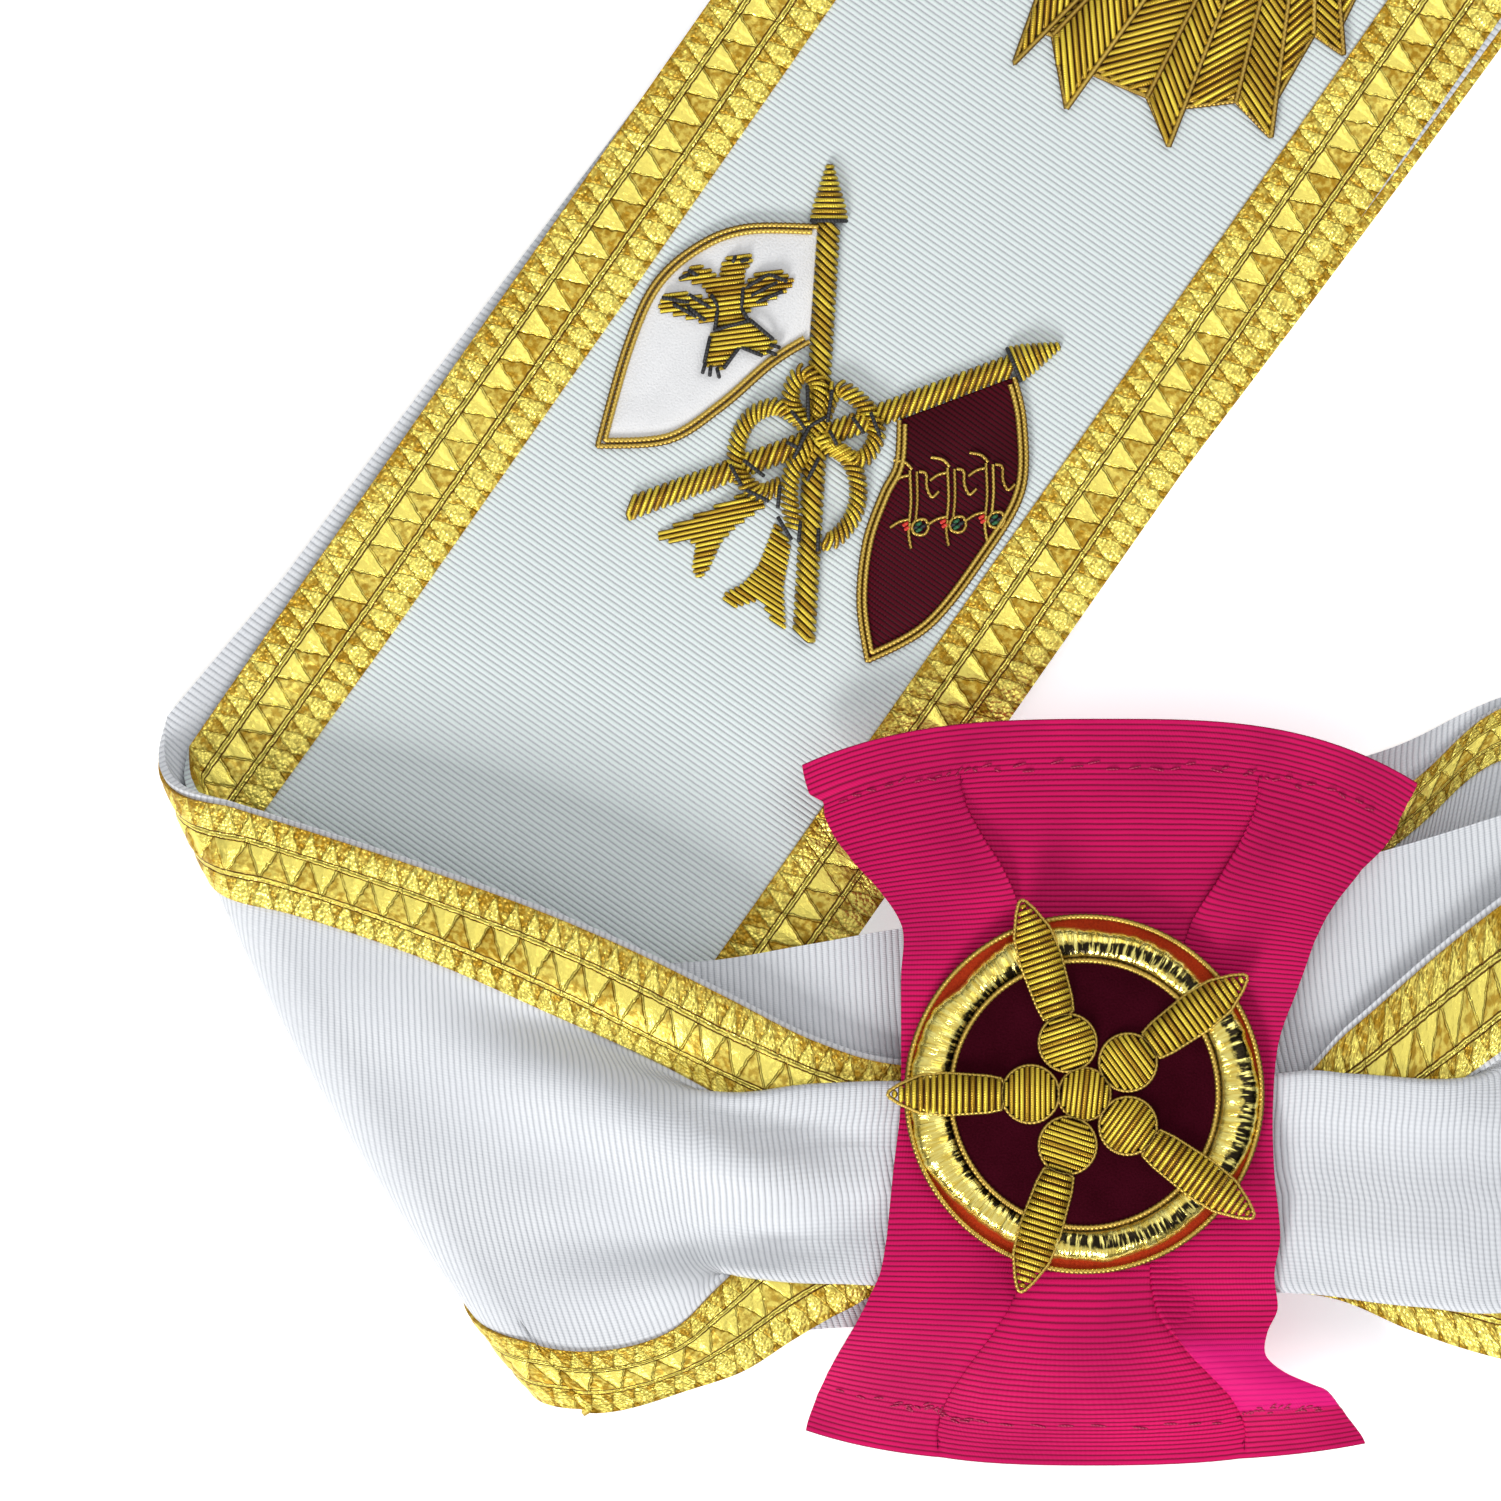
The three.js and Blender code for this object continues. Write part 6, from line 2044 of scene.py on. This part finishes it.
    def figures(self) -> None:
        """Build the three small wire beasts on the maroon flag, drawn as plain strokes of their own."""
        top = FIELD_FLOOR + self.felt + 0.15
        wires = Form("flag_figures_wire")
        dots = {"black": [], "green": [], "red": []}
        for centre in self.FIGURES:
            middle = np.array(centre) * self.unit + self.knot
            for stroke in self.FIGURE_STROKES:
                path = smooth_path(np.array(stroke) * self.figure_scale + middle, 24)
                add_wire(wires, path, top + 0.1, self.figure_wire, False, 0, 0.6)
            for colour, x, y in self.FIGURE_DOTS:
                run = np.array(self.DOT) + np.array([x, y]) * self.figure_scale + middle
                dots[colour].append(np.column_stack([run, [top, top + 0.3, top]]))
        wires.make([self.finishes.wire], [])
        for colour, lines in dots.items():
            form = Form(f"flag_figures_{colour}")
            form.add_tubes(np.array(lines), 0.28, FULL_TURN)
            form.make([getattr(self.finishes, colour)], [])

    def sunburst(self) -> None:
        """Build the radiant device: strips of threads between wires that run in to its middle."""
        turn = self.layout.up
        side = np.array([-turn[1], turn[0]])
        count = self.RAYS * 2
        angles = math.pi + math.radians(self.burst_turn) + np.arange(count) / count * 2 * math.pi
        reach = np.where(np.arange(count) % 2 == 0, 1.0, self.burst_notch)
        forward, across = (np.sign(v) * np.abs(v) ** self.burst_square * reach
                           for v in (np.cos(angles), np.sin(angles)))
        flat = np.column_stack([self.burst_length / 2 * forward, self.burst_width / 2 * across])
        points = self.burst + flat[:, :1] * turn + flat[:, 1:] * side
        for ray, x, y in self.SEEN_RAYS:
            points[ray] = x, y
        form = Form("sunburst_bullion")
        number = 0
        border = []
        for i in range(count):
            a, b = points[i], points[(i + 1) % count]
            border.append(a)
            if i % 2 == 0:
                a = a + (self.burst - a) * self.ray_step
                border.append(a)
            foot_a, foot_b = (self.burst + (p - self.burst) * self.ray_start for p in (a, b))
            run = (a + b) / 2 - self.burst
            angle = math.degrees(math.atan2(run[1], run[0])) + (self.ray_angle if i % 2 else -self.ray_angle)
            strip = np.array([foot_a, a, b, foot_b])
            threads = satin_inside(strip, angle, self.burst_pitch, FIELD_FLOOR, 1.5)
            form.add_threads(threads, 0.39, self.burst_pitch, number)
            number += len(threads)
            line = np.array([points[i], foot_a])
            add_wire(form, line, FIELD_FLOOR + 1.1, self.wire, False, 1, 0.7, 0.35)
        border = np.array(border)
        add_wire(form, border, FIELD_FLOOR + 0.6, self.wire, True, 1, 0.7, 0.35)
        add_wire(form, inset_outline(border, 0.85), FIELD_FLOOR + 0.6, 0.4, True, 1, 0.7, 0.35)
        form.make(self.finishes.wired, ["sunburst"])
        self.burst_boss(side)

    def burst_boss(self, side: Array) -> None:
        """Build the plain padded boss in the sunburst's middle."""
        form = Form("sunburst_boss_bullion")
        circle = circle_points(self.boss_radius, 72)
        angle = math.degrees(math.atan2(side[1], side[0]))
        threads = satin_inside(self.burst + circle * 0.95, angle, 0.95, FIELD_FLOOR, 3.0, 17)
        off = np.linalg.norm(threads[:, :, :2] - self.burst, axis=2) / self.boss_radius
        threads[:, :, 2] = FIELD_FLOOR + 1.6 + 3.0 * dome(off, 2.2)
        form.add_threads(threads, 0.4, 0.95)
        add_wire(form, self.burst + circle, FIELD_FLOOR + 2.1, 0.5, True, 1)
        form.make(self.finishes.wired, ["sunburst_boss"])


# The studio


@dataclass
class Studio:
    """The pale floor, the soft lights and the camera straight above."""

    view: float = 232.0
    view_x: float = -51.4
    view_y: float = 52.9
    camera_height: float = 5.0
    floor_reach: float = 3.0

    def __post_init__(self) -> None:
        """Work out the place under the middle of the view, in metres."""
        self.focus = Vector(((ORIGIN[0] + self.view_x) * MM, (ORIGIN[1] + self.view_y) * MM, 0.0))

    def build(self) -> None:
        """Build the camera, the floor, the lights and the sky."""
        self.camera()
        self.floor()
        self.lights()
        self.sky()

    def camera(self) -> None:
        """Place the camera straight above the photographed part."""
        data = bpy.data.cameras.new("camera")
        made = bpy.data.objects.new("camera", data)
        bpy.context.scene.collection.objects.link(made)
        made.location = self.focus + Vector((0.0, 0.0, self.camera_height))
        data.angle = 2 * math.atan(self.view * MM / 2 / self.camera_height)
        data.clip_end = 20.0
        bpy.context.scene.camera = made

    def floor(self) -> None:
        """Lay the pale floor."""
        reach = self.floor_reach
        mesh = bpy.data.meshes.new("floor")
        mesh.from_pydata([(-reach, -reach, 0), (reach, -reach, 0), (reach, reach, 0), (-reach, reach, 0)], [],
                         [(0, 1, 2, 3)])
        material = bpy.data.materials.new("floor")
        material.use_nodes = True
        shader = material.node_tree.nodes["Principled BSDF"]
        shader.inputs["Base Color"].default_value = (0.97, 0.97, 0.97, 1)
        shader.inputs["Roughness"].default_value = 0.9
        shader.inputs["Emission Color"].default_value = (1.0, 1.0, 1.0, 1)
        shader.inputs["Emission Strength"].default_value = 0.4
        mesh.materials.append(material)
        made = bpy.data.objects.new("floor", mesh)
        bpy.context.scene.collection.objects.link(made)

    def lights(self) -> None:
        """Hang the soft lights."""
        for name, offset, size, power in (("key", (-0.7, -1.7, 1.0), 0.6, 36.0),
                                          ("fill", (0.9, 0.9, 1.4), 1.4, 9.0)):
            data = bpy.data.lights.new(name, "AREA")
            data.size = size
            data.energy = power
            made = bpy.data.objects.new(name, data)
            bpy.context.scene.collection.objects.link(made)
            made.location = self.focus + Vector(offset)
            made.rotation_euler = (self.focus - made.location).to_track_quat("-Z", "Y").to_euler()

    def sky(self) -> None:
        """Set the pale surroundings."""
        world = bpy.data.worlds.new("studio")
        world.use_nodes = True
        bpy.context.scene.world = world
        tree = Tree(world.node_tree)
        place = Value(tree, tree.node("ShaderNodeTexCoord").outputs["Generated"])
        level = tree.parts(place)[2]
        sky = tree.mix(tree.ramp(level, 0.2, 0.7), (0.05, 0.05, 0.05, 1), (0.96, 0.97, 1.0, 1))
        background = world.node_tree.nodes["Background"]
        tree.set(background.inputs["Color"], sky)
        background.inputs["Strength"].default_value = 0.77
        bpy.context.scene.view_settings.view_transform = "Standard"


def main() -> None:
    """Build the studio and every piece of the sash."""
    logging.basicConfig(level=logging.INFO, format="%(name)s %(message)s")
    Studio().build()
    finishes = Finishes()
    ribbons = Ribbons(finishes)
    ribbons.build()
    Cockade(finishes).build()
    Badge(finishes).build()
    Devices(finishes, ribbons.layout).build()


if __name__ == "__main__":
    main()
